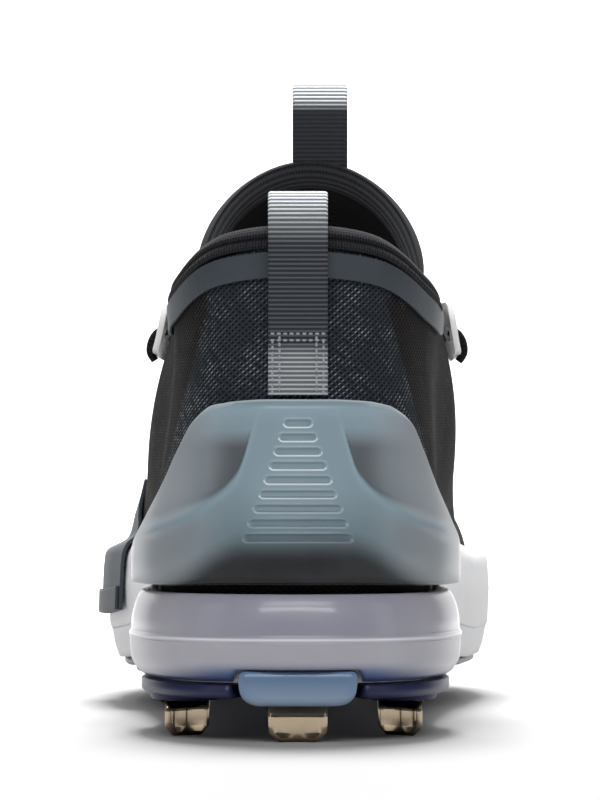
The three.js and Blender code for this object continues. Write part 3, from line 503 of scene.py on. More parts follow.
# %% [markdown]
# ## The materials of the cloth parts
# The upper is a warp-knitted polyester mesh. Turning the surface's millimetres by 45 degrees gives cells shaped
# like diamonds. A cell's middle is a hole and its edge is yarn, and on some edges a short slanting glint of
# painted highlight stands for light caught by the yarn. The heel's mesh is slate blue and the front's is blacker
# and more open; an attribute of the mesh tells the two apart, and where it is 2 it paints shade in the groove
# over the cradle.

# %% Polyester mesh
MESH_WIDTH, MESH_HEIGHT = 1.9, 1.5  # one knitted diamond, in millimetres
mesh_cloth = new_material("polyester_mesh", "#23282f", 0.85, Specular_IOR_Level=0.15)
surface = add(mesh_cloth, "UVMap", uv_map="surface_mm")
slanted = add(mesh_cloth, "Mapping", surface, Rotation=(0, 0, math.pi / 4),
              Scale=(math.sqrt(2) / MESH_WIDTH, math.sqrt(2) / MESH_HEIGHT, 1))
cell = add(mesh_cloth, "VectorMath", slanted, operation="FRACTION")
cell = add(mesh_cloth, "VectorMath", cell, (0.5, 0.5, 0.5), operation="SUBTRACT")
cell = add(mesh_cloth, "SeparateXYZ", add(mesh_cloth, "VectorMath", cell, operation="ABSOLUTE"))
a, b = cell, cell.node.outputs["Y"]
front = add(mesh_cloth, "Attribute", attribute_name="front").node.outputs["Fac"]
edge = add(mesh_cloth, "Math", a, b, operation="MAXIMUM")
edge = add(mesh_cloth, "Math", front, -0.07, edge, operation="MULTIPLY_ADD")
yarn = add(mesh_cloth, "MapRange", edge, 0.27, 0.36, 0.0, 1.0, interpolation_type="SMOOTHSTEP")
# Painted highlights: a short slanting glint on some cell edges, in the light colour, brighter in random patches; the
# glints also raise the bump.
glint_on = add(mesh_cloth, "MapRange", b, 0.33, 0.39, 0.0, 1.0)
glint_end = add(mesh_cloth, "MapRange", a, 0.34, 0.24, 0.0, 1.0)
painted_glints = add(mesh_cloth, "Math", glint_on, glint_end, operation="MULTIPLY")
each = add(mesh_cloth, "TexWhiteNoise", add(mesh_cloth, "VectorMath", slanted, operation="FLOOR"),
           noise_dimensions="2D")
patches = add(mesh_cloth, "TexNoise", surface, Scale=0.09, Detail=2.0)
glint_strength = add(mesh_cloth, "MapRange", patches, 0.42, 0.62, 0.12, 0.85)
glint_strength = add(mesh_cloth, "Math", add(mesh_cloth, "MapRange", each, 0.25, 0.95, 0.0, 1.0), glint_strength, operation="MULTIPLY")
glint_strength = add(mesh_cloth, "Math", glint_strength, painted_glints, operation="MULTIPLY")
# Painted shade: where the attribute is 2, in the groove over the cradle, the mesh takes the front's dark colours and
# loses its glints.
outside_groove_shade = add(mesh_cloth, "MapRange", front, 1.0, 2.0, 1.0, 0.0)
glint_strength = add(mesh_cloth, "Math", glint_strength, outside_groove_shade, operation="MULTIPLY")
ground = add(mesh_cloth, "Mix", front, data_type="RGBA", A=paint("#2a3037"), B=paint("#2b2827"))
light = add(mesh_cloth, "Mix", front, data_type="RGBA", A=paint("#a3adb5"), B=paint("#5f5954"))
gap = add(mesh_cloth, "Mix", front, data_type="RGBA", A=paint("#121519"), B=paint("#020202"))
cloth = add(mesh_cloth, "Mix", yarn, gap, ground, data_type="RGBA")
wire(mesh_cloth, Base_Color=add(mesh_cloth, "Mix", glint_strength, cloth, light, data_type="RGBA"))
height = add(mesh_cloth, "Math", painted_glints, 0.6, yarn, operation="MULTIPLY_ADD")
wire(mesh_cloth, Normal=add(mesh_cloth, "Bump", Height=height, Strength=0.6, Distance=0.0003))
print("mesh:", MESH_WIDTH, "by", MESH_HEIGHT, "mm")

# %% [markdown]
# Knitted binding, webbing and laces are ribbed: rows of loops cross the way they run. One pattern of ribs and
# yarns serves them, with its own pitch and colours for each.

# %% Ribbed cloths
def ribbed(name, colour, groove, along_mm, across_mm, depth_mm, sheen):
    """Yarns in rows: the sum of two sines on the surface map; painted shade darkens the grooves, and goes near black
    where the shade attribute is 1.
    """
    cloth = new_material(name, colour, 0.9, Sheen_Weight=sheen, Sheen_Roughness=0.45, Specular_IOR_Level=0.2)
    place = add(cloth, "UVMap", uv_map="surface_mm")
    turned = add(cloth, "Mapping", place, Scale=(2 * math.pi / along_mm, 2 * math.pi / across_mm, 1))
    sine = add(cloth, "SeparateXYZ", add(cloth, "VectorMath", turned, operation="SINE"))
    rib = add(cloth, "Math", sine, 0.32, 0.5, operation="MULTIPLY_ADD")
    loops = add(cloth, "Math", sine.node.outputs["Y"], 0.18, rib, operation="MULTIPLY_ADD")
    uneven = add(cloth, "TexNoise", place, Scale=1.7, Detail=4.0)
    height = add(cloth, "Math", uneven, 0.6, add(cloth, "Math", loops, 0.17, operation="SUBTRACT"),
                 operation="MULTIPLY_ADD")
    shade = add(cloth, "MapRange", height, 0.25, 0.85, 0.0, 1.0)
    lit = add(cloth, "Mix", shade, paint(groove), paint(colour), data_type="RGBA")
    # Painted shade: near black where this attribute is 1.
    painted_shade = add(cloth, "Attribute", attribute_name="painted_shade").node.outputs["Fac"]
    wire(cloth, Base_Color=add(cloth, "Mix", painted_shade, lit, paint("#040405"), data_type="RGBA"),
         Normal=add(cloth, "Bump", Height=height, Strength=0.8, Distance=depth_mm / 1000))
    return cloth


binding_knit = ribbed("nylon_knit_binding", "#2b2c31", "#0b0b0d", 0.7, 0.9, 0.2, 0.05)
tongue_knit = ribbed("polyester_knit_tongue", "#303135", "#121214", 0.6, 0.8, 0.15, 0.05)
lace_braid = ribbed("polyester_braid", "#17171a", "#060607", 1.3, 1.5, 0.3, 0.05)
lining = ribbed("brushed_lining", "#0e0e11", "#060608", 1.4, 1.4, 0.2, 0.05)
thread = new_material("nylon_thread", "#2b2f34", 0.6, Sheen_Weight=0.3)
pale_thread = new_material("pale_nylon_thread", "#8f969c", 0.55, Sheen_Weight=0.3)
print("cloths:", 4)

# %% [markdown]
# The pull loops are woven polyester tape with ribs across it. It is pale where it turns over at the top, and on
# the heel also in the sewn box low down. Both are ramps of height, which Object coordinates give in metres.
# The ribs follow an attribute of the mesh: how far along the tape a point is.

# %% Webbing
RIB_PITCH = 1.1


def tape(name, dark, pale_from, pale_to, box_top=0.0):
    """Ribbed tape: dark ribs that go pale between two heights, and a little under box_top."""
    cloth = new_material(name, "#3a3e45", 0.75, Specular_IOR_Level=0.25)
    gone = add(cloth, "Attribute", attribute_name="along_mm").node.outputs["Fac"]
    wave = add(cloth, "Math", add(cloth, "Math", gone, 2 * math.pi / RIB_PITCH, operation="MULTIPLY"), operation="SINE")
    surface = add(cloth, "UVMap", uv_map="surface_mm")
    warp = add(cloth, "TexNoise", add(cloth, "Mapping", surface, Scale=(0.6, 6.0, 1)), Scale=1.0, Detail=3.0)
    crest = add(cloth, "MapRange", add(cloth, "Math", warp, 0.5, wave, operation="MULTIPLY_ADD"), 0.2, 1.0, 0.0, 1.0)
    height = add(cloth, "SeparateXYZ", add(cloth, "TexCoord").node.outputs["Object"]).node.outputs["Z"]
    pale = add(cloth, "MapRange", height, pale_from / 1000, pale_to / 1000, 0.0, 1.0)
    boxed = add(cloth, "MapRange", height, box_top / 1000 + 0.0015, box_top / 1000 - 0.0015, 0.0, 0.42)
    pale = add(cloth, "Math", pale, boxed, operation="MAXIMUM")
    ground = add(cloth, "Mix", pale, paint("#26292e"), paint("#83898f"), data_type="RGBA")
    crests = add(cloth, "Mix", pale, paint(dark), paint("#eef1f2"), data_type="RGBA")
    wire(cloth, Base_Color=add(cloth, "Mix", crest, ground, crests, data_type="RGBA"),
         Normal=add(cloth, "Bump", Height=warp, Strength=0.3, Distance=0.0002))
    return cloth


heel_tape = tape("polyester_tape_heel", "#4d5158", 121, 135, 95.5)
tongue_tape = tape("polyester_tape_tongue", "#30333a", 160.5, 164)
print("tapes:", heel_tape.name, tongue_tape.name)

# %% [markdown]
# ## The materials of the moulded and pressed parts
# The midsole is moulded EVA foam, matt with a very fine skin. The clear heel parts are TPU, a rubbery plastic
# that is cloudy where it is thick and lets the dark upper through where it is thin; painted highlights and
# painted shade are added to that cloudiness. The plate is nylon, the film overlays are pressed TPU film and
# the spikes are nickel-plated steel.

# %% Foam and plastics
# Painted shade: the white foam is given a light grey, for the shade on its sides.
foam = new_material("eva_foam", "#dcdcde", 0.6, Subsurface_Weight=0.15, Subsurface_Scale=0.002)
place = add(foam, "TexCoord").node.outputs["Object"]
skin = add(foam, "TexNoise", place, Scale=1400.0, Detail=3.0)
cloud = add(foam, "TexNoise", place, Scale=60.0, Detail=2.0)
wire(foam, Normal=add(foam, "Bump", Height=skin, Strength=0.25, Distance=0.0002),
     Base_Color=add(foam, "Mix", cloud, paint("#d4d4d7"), paint("#e0e0e1"), data_type="RGBA"))

white_tpu = new_material("white_tpu", "#f2f2f0", 0.4, Coat_Weight=0.3, Coat_Roughness=0.2)
grain = add(white_tpu, "TexNoise", add(white_tpu, "TexCoord").node.outputs["Object"], Scale=900.0)
wire(white_tpu, Normal=add(white_tpu, "Bump", Height=grain, Strength=0.2, Distance=0.0002))


def clear_tpu(name, thin, thick, tint, roughness, gloss):
    """Cloudy TPU: thin to thick as the attribute milk goes from 0 to 1, and painted highlight to white at 1.5; tinted
    by the attribute tint.
    """
    clear = new_material(name, thick, roughness, Coat_Weight=gloss, Coat_Roughness=0.12, Specular_IOR_Level=0.3,
                         Subsurface_Weight=0.08, Subsurface_Scale=0.002)
    milk_and_painted_light = add(clear, "Attribute", attribute_name="milk_and_painted_light").node.outputs["Fac"]
    tinted = add(clear, "Attribute", attribute_name="tint").node.outputs["Fac"]
    at = add(clear, "TexCoord").node.outputs["Object"]
    haze = add(clear, "TexNoise", at, Scale=55.0, Detail=3.0)
    milk_and_painted_light = add(clear, "Math", haze, 0.12, add(clear, "Math", milk_and_painted_light, 0.06, operation="SUBTRACT"),
               operation="MULTIPLY_ADD")
    cloudy = add(clear, "Mix", tinted, paint(thick), paint(tint), data_type="RGBA")
    # Painted highlight: above 1 the colour goes to white.
    lit = add(clear, "MapRange", milk_and_painted_light, 1.0, 1.5, 0.0, 1.0)
    cloudy = add(clear, "Mix", lit, cloudy, paint("#eef2f5"), data_type="RGBA")
    grain = add(clear, "TexNoise", at, Scale=700.0, Detail=2.0)
    wire(clear, Base_Color=add(clear, "Mix", milk_and_painted_light, paint(thin), cloudy, data_type="RGBA", clamp_factor=True),
         Normal=add(clear, "Bump", Height=grain, Strength=0.12, Distance=0.0001))
    return clear


counter_tpu = clear_tpu("clear_tpu_counter", "#0c0d10", "#a6a9ae", "#8ca2ad", 0.36, 0.15)
cradle_tpu = clear_tpu("clear_tpu_cradle", "#2d3a66", "#a3a2ab", "#5a73a0", 0.34, 0.4)
block_tpu = clear_tpu("clear_tpu_block", "#587190", "#8b9db2", "#7089a5", 0.26, 0.3)
print("plastics:", foam.name, white_tpu.name, counter_tpu.name)

# %% Nylon, film and steel
nylon = new_material("navy_nylon", "#1b2148", 0.42, Coat_Weight=0.1, Coat_Roughness=0.15, Specular_IOR_Level=0.35)
place = add(nylon, "TexCoord").node.outputs["Object"]
grain = add(nylon, "TexNoise", place, Scale=900.0, Detail=3.0)
scuffs = add(nylon, "TexNoise", place, Scale=140.0, Detail=6.0)
wire(nylon, Normal=add(nylon, "Bump", Height=grain, Strength=0.2, Distance=0.0002),
     Base_Color=add(nylon, "Mix", scuffs, paint("#141838"), paint("#20264e"), data_type="RGBA"))

film = new_material("tpu_film", "#333a41", 0.55, Specular_IOR_Level=0.35)
place = add(film, "TexCoord").node.outputs["Object"]
pores = add(film, "TexVoronoi", place, Scale=900.0)
tone = add(film, "TexNoise", place, Scale=80.0, Detail=3.0)
wire(film, Normal=add(film, "Bump", Height=pores, Strength=0.25, Distance=0.0002),
     Base_Color=add(film, "Mix", tone, paint("#2f363d"), paint("#3b434a"), data_type="RGBA"))

steel = new_material("nickel_plated_steel", "#b3a28a", 0.12, Metallic=1.0)
place = add(steel, "TexCoord").node.outputs["Object"]
low = add(steel, "MapRange", add(steel, "SeparateXYZ", place).node.outputs["Z"], 0.0004, 0.0024, 0.0, 1.0)
stretched = add(steel, "Mapping", place, Scale=(1, 1, 0.06))
brushing = add(steel, "TexNoise", stretched, Scale=2600.0, Detail=2.0)
plated = add(steel, "Mix", brushing, paint("#ab9a82"), paint("#c0b099"), data_type="RGBA")
wire(steel, Base_Color=add(steel, "Mix", low, paint("#5b4c3d"), plated, data_type="RGBA"),
     Normal=add(steel, "Bump", Height=brushing, Strength=0.05, Distance=0.0001),
     Roughness=add(steel, "MapRange", brushing, 0.3, 0.7, 0.08, 0.15))
print("metals:", steel.name)

# %% [markdown]
# ## The upper
# A real upper is pulled over a last and is one wall all round: outer mesh, foam at the collar, and lining. Its
# grid goes up the outer face, over the edge and down the inner face, closed like a ring both ways. The heel's
# mesh meets the front's along a line that curves outwards on its way down.

# %% Upper
STATIONS = np.arange(420) / 420


def mesh_line(z):
    """Half width of the heel's mesh at a height: 22 mm at 106 mm over the ground, wider below."""
    return 22.0 + 0.28 * np.maximum(106.0 - z, 0) + 0.12 * np.maximum(z - 106.0, 0)


def is_front(points):
    """0 on the heel's mesh, 1 on the front's and 2 low in the groove over the cradle, where it paints shade."""
    edge = mesh_line(points[..., 2])
    front = np.maximum(ramp(np.abs(points[..., 0]), edge - 0.2, edge + 0.2), ramp(points[..., 1], 60, 62))
    return np.maximum(front, 2 * (1 - ramp(points[..., 2], 39, 41)) * (1 - ramp(points[..., 1], 60, 62)))


up, down = np.linspace(0, 1, 72)[:, None], np.linspace(1, 0, 22)[:, None]
upper_shell = np.concatenate([upper_face(STATIONS[None], up), upper_inside(STATIONS[None], down)])
inner = np.concatenate([np.zeros((72, 1)), np.ones((22, 1))])
upper = piece("upper_mesh", upper_shell, mesh_cloth, "upper", ring_v=True, ring_u=True,
              values={"front": np.maximum(is_front(upper_shell), inner)})

# %% [markdown]
# ## The midsole and insole
# Moulded foam with a step low on its side and a rim that cups the upper. Its section is a short outline whose
# corners are rounded as the mould's are, carried round the shoe. The insole is a cloth-covered pad inside.

# %% Midsole
SIDE_SECTION = [(0, 0), (.35, .1), (.6, .24), (.86, .3), (1, .62), (.85, .88), (.45, 1)]  # reach, level


def side_point(at, level, reach, extra=0.0):
    """A point of the sidewall: reach runs from its tuck to its flare, level from its base to its rim."""
    inner, outer = SIDEWALL * tuck(at), SIDEWALL * flare(at)
    low = foam_bottom(foot(at, inner)[..., 1])
    plan = foot(at, inner + (outer - inner) * reach + extra)
    return np.concatenate([plan, (low + (rim_top(at) - low) * level)[..., None]], -1)


def smooth_section(corners, scale, radius, steps=5):
    """An open section whose corners are rounded in real millimetres: scaled up, rounded, and scaled back."""
    corners = np.asarray(corners, float) * scale
    radius = np.broadcast_to(radius, len(corners))
    return np.concatenate([corners[:1], rounded(corners, radius, steps)[steps:-steps], corners[-1:]]) / scale


section = smooth_section(SIDE_SECTION, (4.0, 25.0), 1.1, 6)
grid_at = np.broadcast_to(STATIONS[None], (len(section), len(STATIONS)))
outside = side_point(grid_at, section[:, 1:], section[:, :1])
bed = footbed(foot(STATIONS)[..., 1])
inside = [upper_at_height(STATIONS, bed + (rim_top(STATIONS) - bed) * share, FIT) for share in (1.0, .93, .6, .25)]
crest = (outside[-1] + inside[0]) / 2 + np.array([0, 0, 0.35])
floor_edge = np.concatenate([foot(STATIONS, np.full(len(STATIONS), FIT)), bed[:, None]], -1)
midsole_grid = np.concatenate([outside, crest[None], np.stack(inside), floor_edge[None]])
midsole = piece("midsole_foam", midsole_grid, foam, "midsole", ring_u=True, ends=True)

# %% Insole
def insole_loop(inset, level):
    """The foot of the wall moved in, at a level of the insole's thickness over the footbed."""
    plan = foot(STATIONS, np.full(len(STATIONS), -UPPER_WALL - FIT - inset))
    return np.concatenate([plan, (bed + GAP + INSOLE_THICKNESS * level)[:, None]], -1)


INSOLE_LOOPS = [(.5, 0), (0, .12), (0, .7), (.15, .86), (.7, .97), (1.6, 1), (4, .94), (8, .8), (14, .72)]
insole_grid = np.stack([insole_loop(inset, level) for inset, level in INSOLE_LOOPS])
insole = piece("insole_cloth", insole_grid, lining, "insole", ring_u=True, ends=True)

# %% [markdown]
# ## The outsole plate, its pads and the heel block
# A nylon plate is moulded round the feet of the spikes. It stays flat over each group of spikes and lifts
# between them and at the toe. A clear block closes the heel and holds the rear spike.

# %% Plate
def plate_loop(inset, level):
    """The plate's edge moved in by inset, at a level between its underside and its top."""
    plan = foot(STATIONS, SIDEWALL * plate_edge(STATIONS) - inset)
    notch = np.abs(plan[:, 0]) < BLOCK_WIDTH / 2 + GAP
    y = np.where(notch, np.maximum(plan[:, 1], BLOCK_BACK + BLOCK_DEPTH + GAP), plan[:, 1])
    low = plate_bottom(plan[:, 1]) + PAD_HEIGHT
    return np.stack([plan[:, 0], y, low + (plate_top(plan[:, 1]) - low) * level], -1)


def ribbed_underside(loop, inset):
    """Shallow moulded waves across the underside, 2.4 mm apart, away from the edge."""
    wave = 0.3 * np.sin(loop[:, 1] * 2 * np.pi / 2.4) * ramp(inset, 3, 5)
    return loop + np.stack([np.zeros(len(loop)), np.zeros(len(loop)), wave], -1)


PLATE_LOOPS = [(8, 0), (6, 0), (4, 0), (PLATE_ROUNDING, 0), (.5, .06), (.1, .2), (0, .35), (0, .95), (.3, 1)]
plate_grid = np.stack([plate_loop(inset, level) for inset, level in PLATE_LOOPS])
plate = piece("outsole_plate_nylon", plate_grid, nylon, "outsole_plate", ring_u=True, ends=True)


def pad(name):
    """Round pad over a spike: loops of a circle whose radius grows upwards, with a rounded lower edge."""
    x, y = BALL_WIDTH * SPIKES[name][1], LENGTH * SPIKES[name][0]
    turn = np.linspace(0, 2 * np.pi, 48, endpoint=False)
    radius = SPIKE_WIDTH / 2 + PAD_MARGIN
    rows = [(radius - 1.6, 0), (radius - .5, .05), (radius, .5), (radius + .3, 1.5), (radius + PAD_HEIGHT / 2, 2.4)]
    return np.stack([np.stack([x + r * np.cos(turn), y + r * np.sin(turn),
                               np.full(48, plate_bottom(y) + h)], -1) for r, h in rows])


pads = piece("spike_pads_nylon", np.stack([pad(name) for name in list(SPIKES)[1:]]), nylon,
             ring_u=True)

# %% Heel block
def block_outline(inset, steps=7):
    """A rounded rectangle in x and z, moved in by inset."""
    half, low = BLOCK_WIDTH / 2 - inset, plate_bottom(0.0) + inset
    high = plate_top(0.0) + BLOCK_RISE - inset
    corners = [(0.9 - half, low), (half - 0.9, low), (half, high), (-half, high)]
    return rounded(corners, np.array([5.2, 5.2, 2.4, 2.4]) - min(inset, 1) * 0.6, steps)


BLOCK_STEPS = [(2.0, 0), (1.1, .12), (.5, .45), (.15, .95), (0, 1.7), (0, BLOCK_DEPTH)]
block_grid = np.stack([np.insert(block_outline(inset), 1, BLOCK_BACK + depth, axis=1)
                       for inset, depth in BLOCK_STEPS], 1)
block = piece("rear_block_tpu", block_grid, block_tpu, "rear_spike_block", ring_v=True, ends=True,
              values={"milk_and_painted_light": 1 - 0.6 * ramp(block_grid[..., 2], 9, 17), "tint": ramp(block_grid[..., 2], 9, 14)})

# %% [markdown]
# ## The spikes
# Each spike is a strip of steel pressed to a shallow fold down its middle, with its lower corners cut and its
# edges broken. The section is a folded strip with rounded ends; it narrows and thins to the tip.

# %% Spikes
def spike(name):
    """Sections of a folded strip at levels from the tip up, turned about the vertical and set in place."""
    place_along, place_across, degrees = SPIKES[name]
    y0 = LENGTH * place_along
    u = np.concatenate([np.linspace(-1, 1, 19), np.linspace(1, -1, 19)])
    side = np.concatenate([np.full(19, 0.5), np.full(19, -0.5)])
    height = SPIKE_HEIGHT - GAP
    levels = np.array([0, .18, .5, 1.1, 2.1, 2.5, 4, 6, height])
    width = np.interp(levels, [0, .18, .5, 2.1, 2.6, height], [.60, .63, .68, .95, .985, 1]) * SPIKE_WIDTH / 2
    thick = np.interp(levels, [0, .18, .5, 1.1], [.55, .8, .95, 1]) * SPIKE_THICKNESS
    bend = SPIKE_BEND * (1 - np.sqrt(u[:, None]**2 + 0.004))
    end = (1 - np.abs(u[:, None])**14)**0.5
    x = u[:, None] * width
    y = bend + side[:, None] * thick * np.maximum(end, 0.25)
    angle = math.radians(degrees)
    z = np.broadcast_to(levels + plate_bottom(y0) - SPIKE_HEIGHT, x.shape)
    return np.stack([x * math.cos(angle) - y * math.sin(angle) + BALL_WIDTH * place_across,
                     x * math.sin(angle) + y * math.cos(angle) + y0, z], -1)


for spike_name in SPIKES:
    piece(spike_name + "_steel", spike(spike_name), steel, spike_name, ring_v=True, ends=True)

# %% [markdown]
# ## The clear cradle
# A moulded band of clear TPU holds the heel's foam. Its outline has a rounded shoulder, a long flat face, a
# thin flange and a lip that turns under to the plate. The shoulder catches a broad highlight from the lamps,
# and the flange catches a thin one, made brighter by a painted highlight. Where it crosses the block its lower
# edge steps up over it.

# %% Cradle
CRADLE_SECTION = [(0, 0), (.15, 0), (.5, .05), (.9, .19), (.94, .43), (1, .465), (.98, .505), (.88, .53),
                  (.86, .7), (.6, .9), (.3, 1), (0, 1)]  # reach, level


def cradle_point(u, level, reach):
    """The heel's outline moved out past the foam; levels run from the lower edge to the shoulder's top."""
    at = (2 * u - 1) * CRADLE_END
    slim = (1 - ramp(np.abs(2 * u - 1), 0.97, 1.0) * 0.6)
    plan = foot(at, SIDEWALL * np.maximum(flare(at), tuck(at)) + GAP + CRADLE_WALL * reach * slim)
    base, top = foam_bottom(plan[..., 1]) + GAP, SEAT + CRADLE_RISE
    over = 1 - ramp(np.abs(plan[..., 0]), BLOCK_WIDTH / 2 + GAP, BLOCK_WIDTH / 2 + GAP + 0.6)
    lowest = base + (plate_top(0.0) + BLOCK_RISE + GAP - base) * over
    return np.concatenate([plan, np.maximum(base + (top - base) * level, lowest)[..., None]], -1)


CRADLE_SCALE = (CRADLE_WALL, SEAT + CRADLE_RISE - float(foam_bottom(0.0)))
cradle_section = rounded(np.array(CRADLE_SECTION) * CRADLE_SCALE,
                         [.2, .5, .8, 1.4, .8, .45, .35, .5, 2.5, 1.6, .8, .4], 6) / CRADLE_SCALE
cradle_u = np.linspace(0, 1, 281)[None]
cradle_grid = cradle_point(np.broadcast_to(cradle_u, (len(cradle_section), 281)),
                           cradle_section[:, 1:], cradle_section[:, :1])
cradle = piece("heel_cradle_tpu", cradle_grid, cradle_tpu, "heel_cradle", ring_v=True, ends=True,
               values={"milk_and_painted_light": (ramp(cradle_grid[..., 2], 14.6, 18.5)
                                * (1 - 0.28 * ramp(cradle_grid[..., 2], 25.3, 26.3)
                                   * (1 - ramp(np.abs(cradle_grid[..., 0]), 20, 36)))
                                # painted highlight: a thin bright line along the flange
                                + 0.3 * np.exp(-((cradle_grid[..., 2] - 25.1) / 0.3)**2)),
                       "tint": ((1 - ramp(cradle_grid[..., 2], 16, 20))
                                * (1 - ramp(np.abs(cradle_grid[..., 0]), 16, 32)))})

# %% [markdown]
# ## The clear heel counter
# The counter is one moulding of clear TPU: a tall spine with a ladder of nine slots, a scallop pressed into
# each side, and a belly at the back of the heel. It is worked out as a thickness over the upper: the sum of
# the wall and its belly, less the scallops and the slots. Thin places let the dark upper through, so the same
# thickness also drives the colour. Painted light is added to that colour: highlights near the top edge and on
# the slots' rims, and shade low down, under an arc above the cradle and along the groove over it.

# %% Counter
COUNTER_EDGE = np.array([
    # lateral station, medial station, share of the rise
    (0, 0, 1), (.02, .022, .998), (.033, .037, .985), (.043, .047, .96), (.049, .055, .91), (.0565, .062, .81),
    (.067, .072, .64), (.083, .087, .46), (.11, .113, .35), (.15, .15, .27),
])
SCALLOP_FLOOR = np.array([(8, 86), (10.4, 78), (11.4, 75), (12.5, 71), (14, 66.3), (16.5, 62.4), (19.5, 59.5),
                          (23.5, 57), (28.5, 54.5), (34.6, 52), (50, 46)])  # x, height
SCALLOP_TOP = 75.6


def counter_high(at):
    """Upper edge of the counter."""
    at = np.asarray(at, float)
    shares = [through(COUNTER_EDGE[:, side], COUNTER_EDGE[:, 2], np.abs(at)) for side in (0, 1)]
    return SEAT + COUNTER_RISE * np.where(at < 0, shares[1], shares[0])


def counter_low(at):
    return np.maximum(SEAT + COUNTER_START, rim_top(at) + FIT)


def slot_depth(x, z):
    """How far inside a slot a point is: distances to nine short bars, less the bars' half height."""
    k = np.arange(RUNG_COUNT)
    middle = SEAT + COUNTER_RISE - RUNG_START - k * RUNG_PITCH
    half = (RUNG_TOP_WIDTH + k * RUNG_GROWTH) / 2 - RUNG_HEIGHT / 2
    past = np.maximum(np.abs(x)[..., None] - half, 0)
    return np.min(np.hypot(past, z[..., None] - middle), -1) - RUNG_HEIGHT / 2


def distance_below(x, z):
    """How far a point is under the middle of the slot nearest to it."""
    k = np.clip(np.round((SEAT + COUNTER_RISE - RUNG_START - z) / RUNG_PITCH), 0, RUNG_COUNT - 1)
    return SEAT + COUNTER_RISE - RUNG_START - k * RUNG_PITCH - z


def counter_form(at, z):
    """Thickness of the counter, its milk, which is how cloudy it looks with painted highlights and painted shade added,
    and its tint, from grey to teal.
    """
    level = (z - SEAT) / COUNTER_RISE
    x = np.abs(upper_at_height(at, z, FIT + COUNTER_WALL)[..., 0])
    belly = np.exp(-(((level - 0.35) / 0.2)**2)) * ramp(level, 0.14, 0.3)
    full = np.where(level < 0.35, 1.0, belly)
    belly = belly + (full * (1 + 0.5 * (1 - ramp(level, 0.16, 0.4))) - belly) * ramp(x, 16, 33)
    edge = 1 - 0.45 * ramp(z, counter_high(at) - 3, counter_high(at) - 0.2)**2
    floor = through(SCALLOP_FLOOR[:, 0], SCALLOP_FLOOR[:, 1], np.minimum(x, 50))
    inside = np.minimum(z - floor, (SCALLOP_TOP - z) * 0.5)
    fading = 1 - ramp(x, 15, 33)
    scallop = ramp(inside, -0.5, 2.4) * (0.15 + 0.85 * fading)
    lip = np.exp(-((z - floor + 1.4) / 1.6)**2) * ramp(x, 8, 12) * (1 - ramp(x, 32, 38))
    distance = slot_depth(x, z)
    slot = 1 - ramp(distance, -0.5, 0.0)
    bead = np.exp(-((distance - 0.1) / 0.2)**2)
    # Painted shade: a dark line low on the counter, along the groove over the cradle.
    groove = np.exp(-((z - SEAT - 8.2) / 0.9)**2)
    thick = (COUNTER_WALL * edge + COUNTER_BELLY * belly - 1.5 * scallop + 0.3 * lip
             - 0.45 * slot + 0.2 * bead)
    arc = SEAT + 18.5 - 8.5 * ramp(x, 12, 31)
    # Painted shade: darker under an arc low on the counter, where it curves under towards the cradle.
    shade_under_arc = 1 - ramp(z, arc - 4.5, arc + 3)
    shade_low_down = 1 - ramp(z, 46, 66)
    # Painted highlight: lighter towards the top; painted shade: darker lower down in the middle.
    milk_and_painted_light = (0.82 + 0.12 * ramp(z, 76, 82) - 0.55 * scallop * (0.3 + 0.7 * fading) + 0.1 * lip
            - 0.08 * slot - 0.3 * shade_low_down * (1 - 0.6 * ramp(x, 16, 34)))
    milk_and_painted_light = milk_and_painted_light * (1 - shade_under_arc * (0.95 - 0.8 * ramp(x, 22, 35))) - 0.25 * groove
    lit_lower_side = ramp(distance_below(x, z), -0.2, 0.6)
    # Painted highlight on the rims of the slots, over a real raised bead: brighter on their lower sides and higher up.
    milk_and_painted_light = milk_and_painted_light + bead * (0.18 + 0.5 * lit_lower_side) * (0.35 + 0.65 * ramp(z, 46, 62))
    # Painted highlight: a bright line just under the top edge.
    milk_and_painted_light = milk_and_painted_light + 0.35 * np.exp(-((z - counter_high(at) + 0.3) / 0.35)**2)
    tint = 0.25 + 0.75 * (1 - ramp(x, 14, 30)) * (1 - 0.8 * scallop) + 0.5 * lip
    return thick, np.clip(milk_and_painted_light, 0, 1.5), np.clip(tint, 0, 1)


spread = np.linspace(-1, 1, 301)
counter_at = (COUNTER_END * np.sign(spread) * np.abs(spread)**1.35)[None]
counter_share = np.linspace(0, 1, 241)[:, None]
low_edge, high_edge = counter_low(counter_at), counter_high(counter_at)
counter_z = low_edge + (high_edge - low_edge) * counter_share
counter_at = np.broadcast_to(counter_at, counter_z.shape)
thickness, milk_and_painted_light, tint = counter_form(counter_at, counter_z)
from_edge = np.minimum(np.minimum(counter_z - low_edge, high_edge - counter_z), 1.0)
thickness = thickness * (0.35 + 0.65 * np.sqrt(1 - (1 - from_edge)**2))
front_face = upper_at_height(counter_at, counter_z, FIT + thickness)
back_face = upper_at_height(counter_at[::-24], counter_z[::-24], FIT)
counter_grid = np.concatenate([front_face, back_face])
counter = piece("heel_counter_tpu", counter_grid, counter_tpu, "heel_counter", ring_v=True,
                values={"milk_and_painted_light": np.concatenate([milk_and_painted_light, milk_and_painted_light[::-24]]), "tint": np.concatenate([tint, tint[::-24]])})
print("thickest and thinnest:", round(float(thickness.max()), 2), round(float(thickness.min()), 2), "mm")

# %% [markdown]
# ## Overlays of pressed film
# The collar band and the eyestay are thin films fused to the mesh. Each is a strip between two stations and two
# distances short of the top line. Its section is a flat outline with rounded corners, or a sheet with holes
# punched in it that gets its thickness from Solidify.

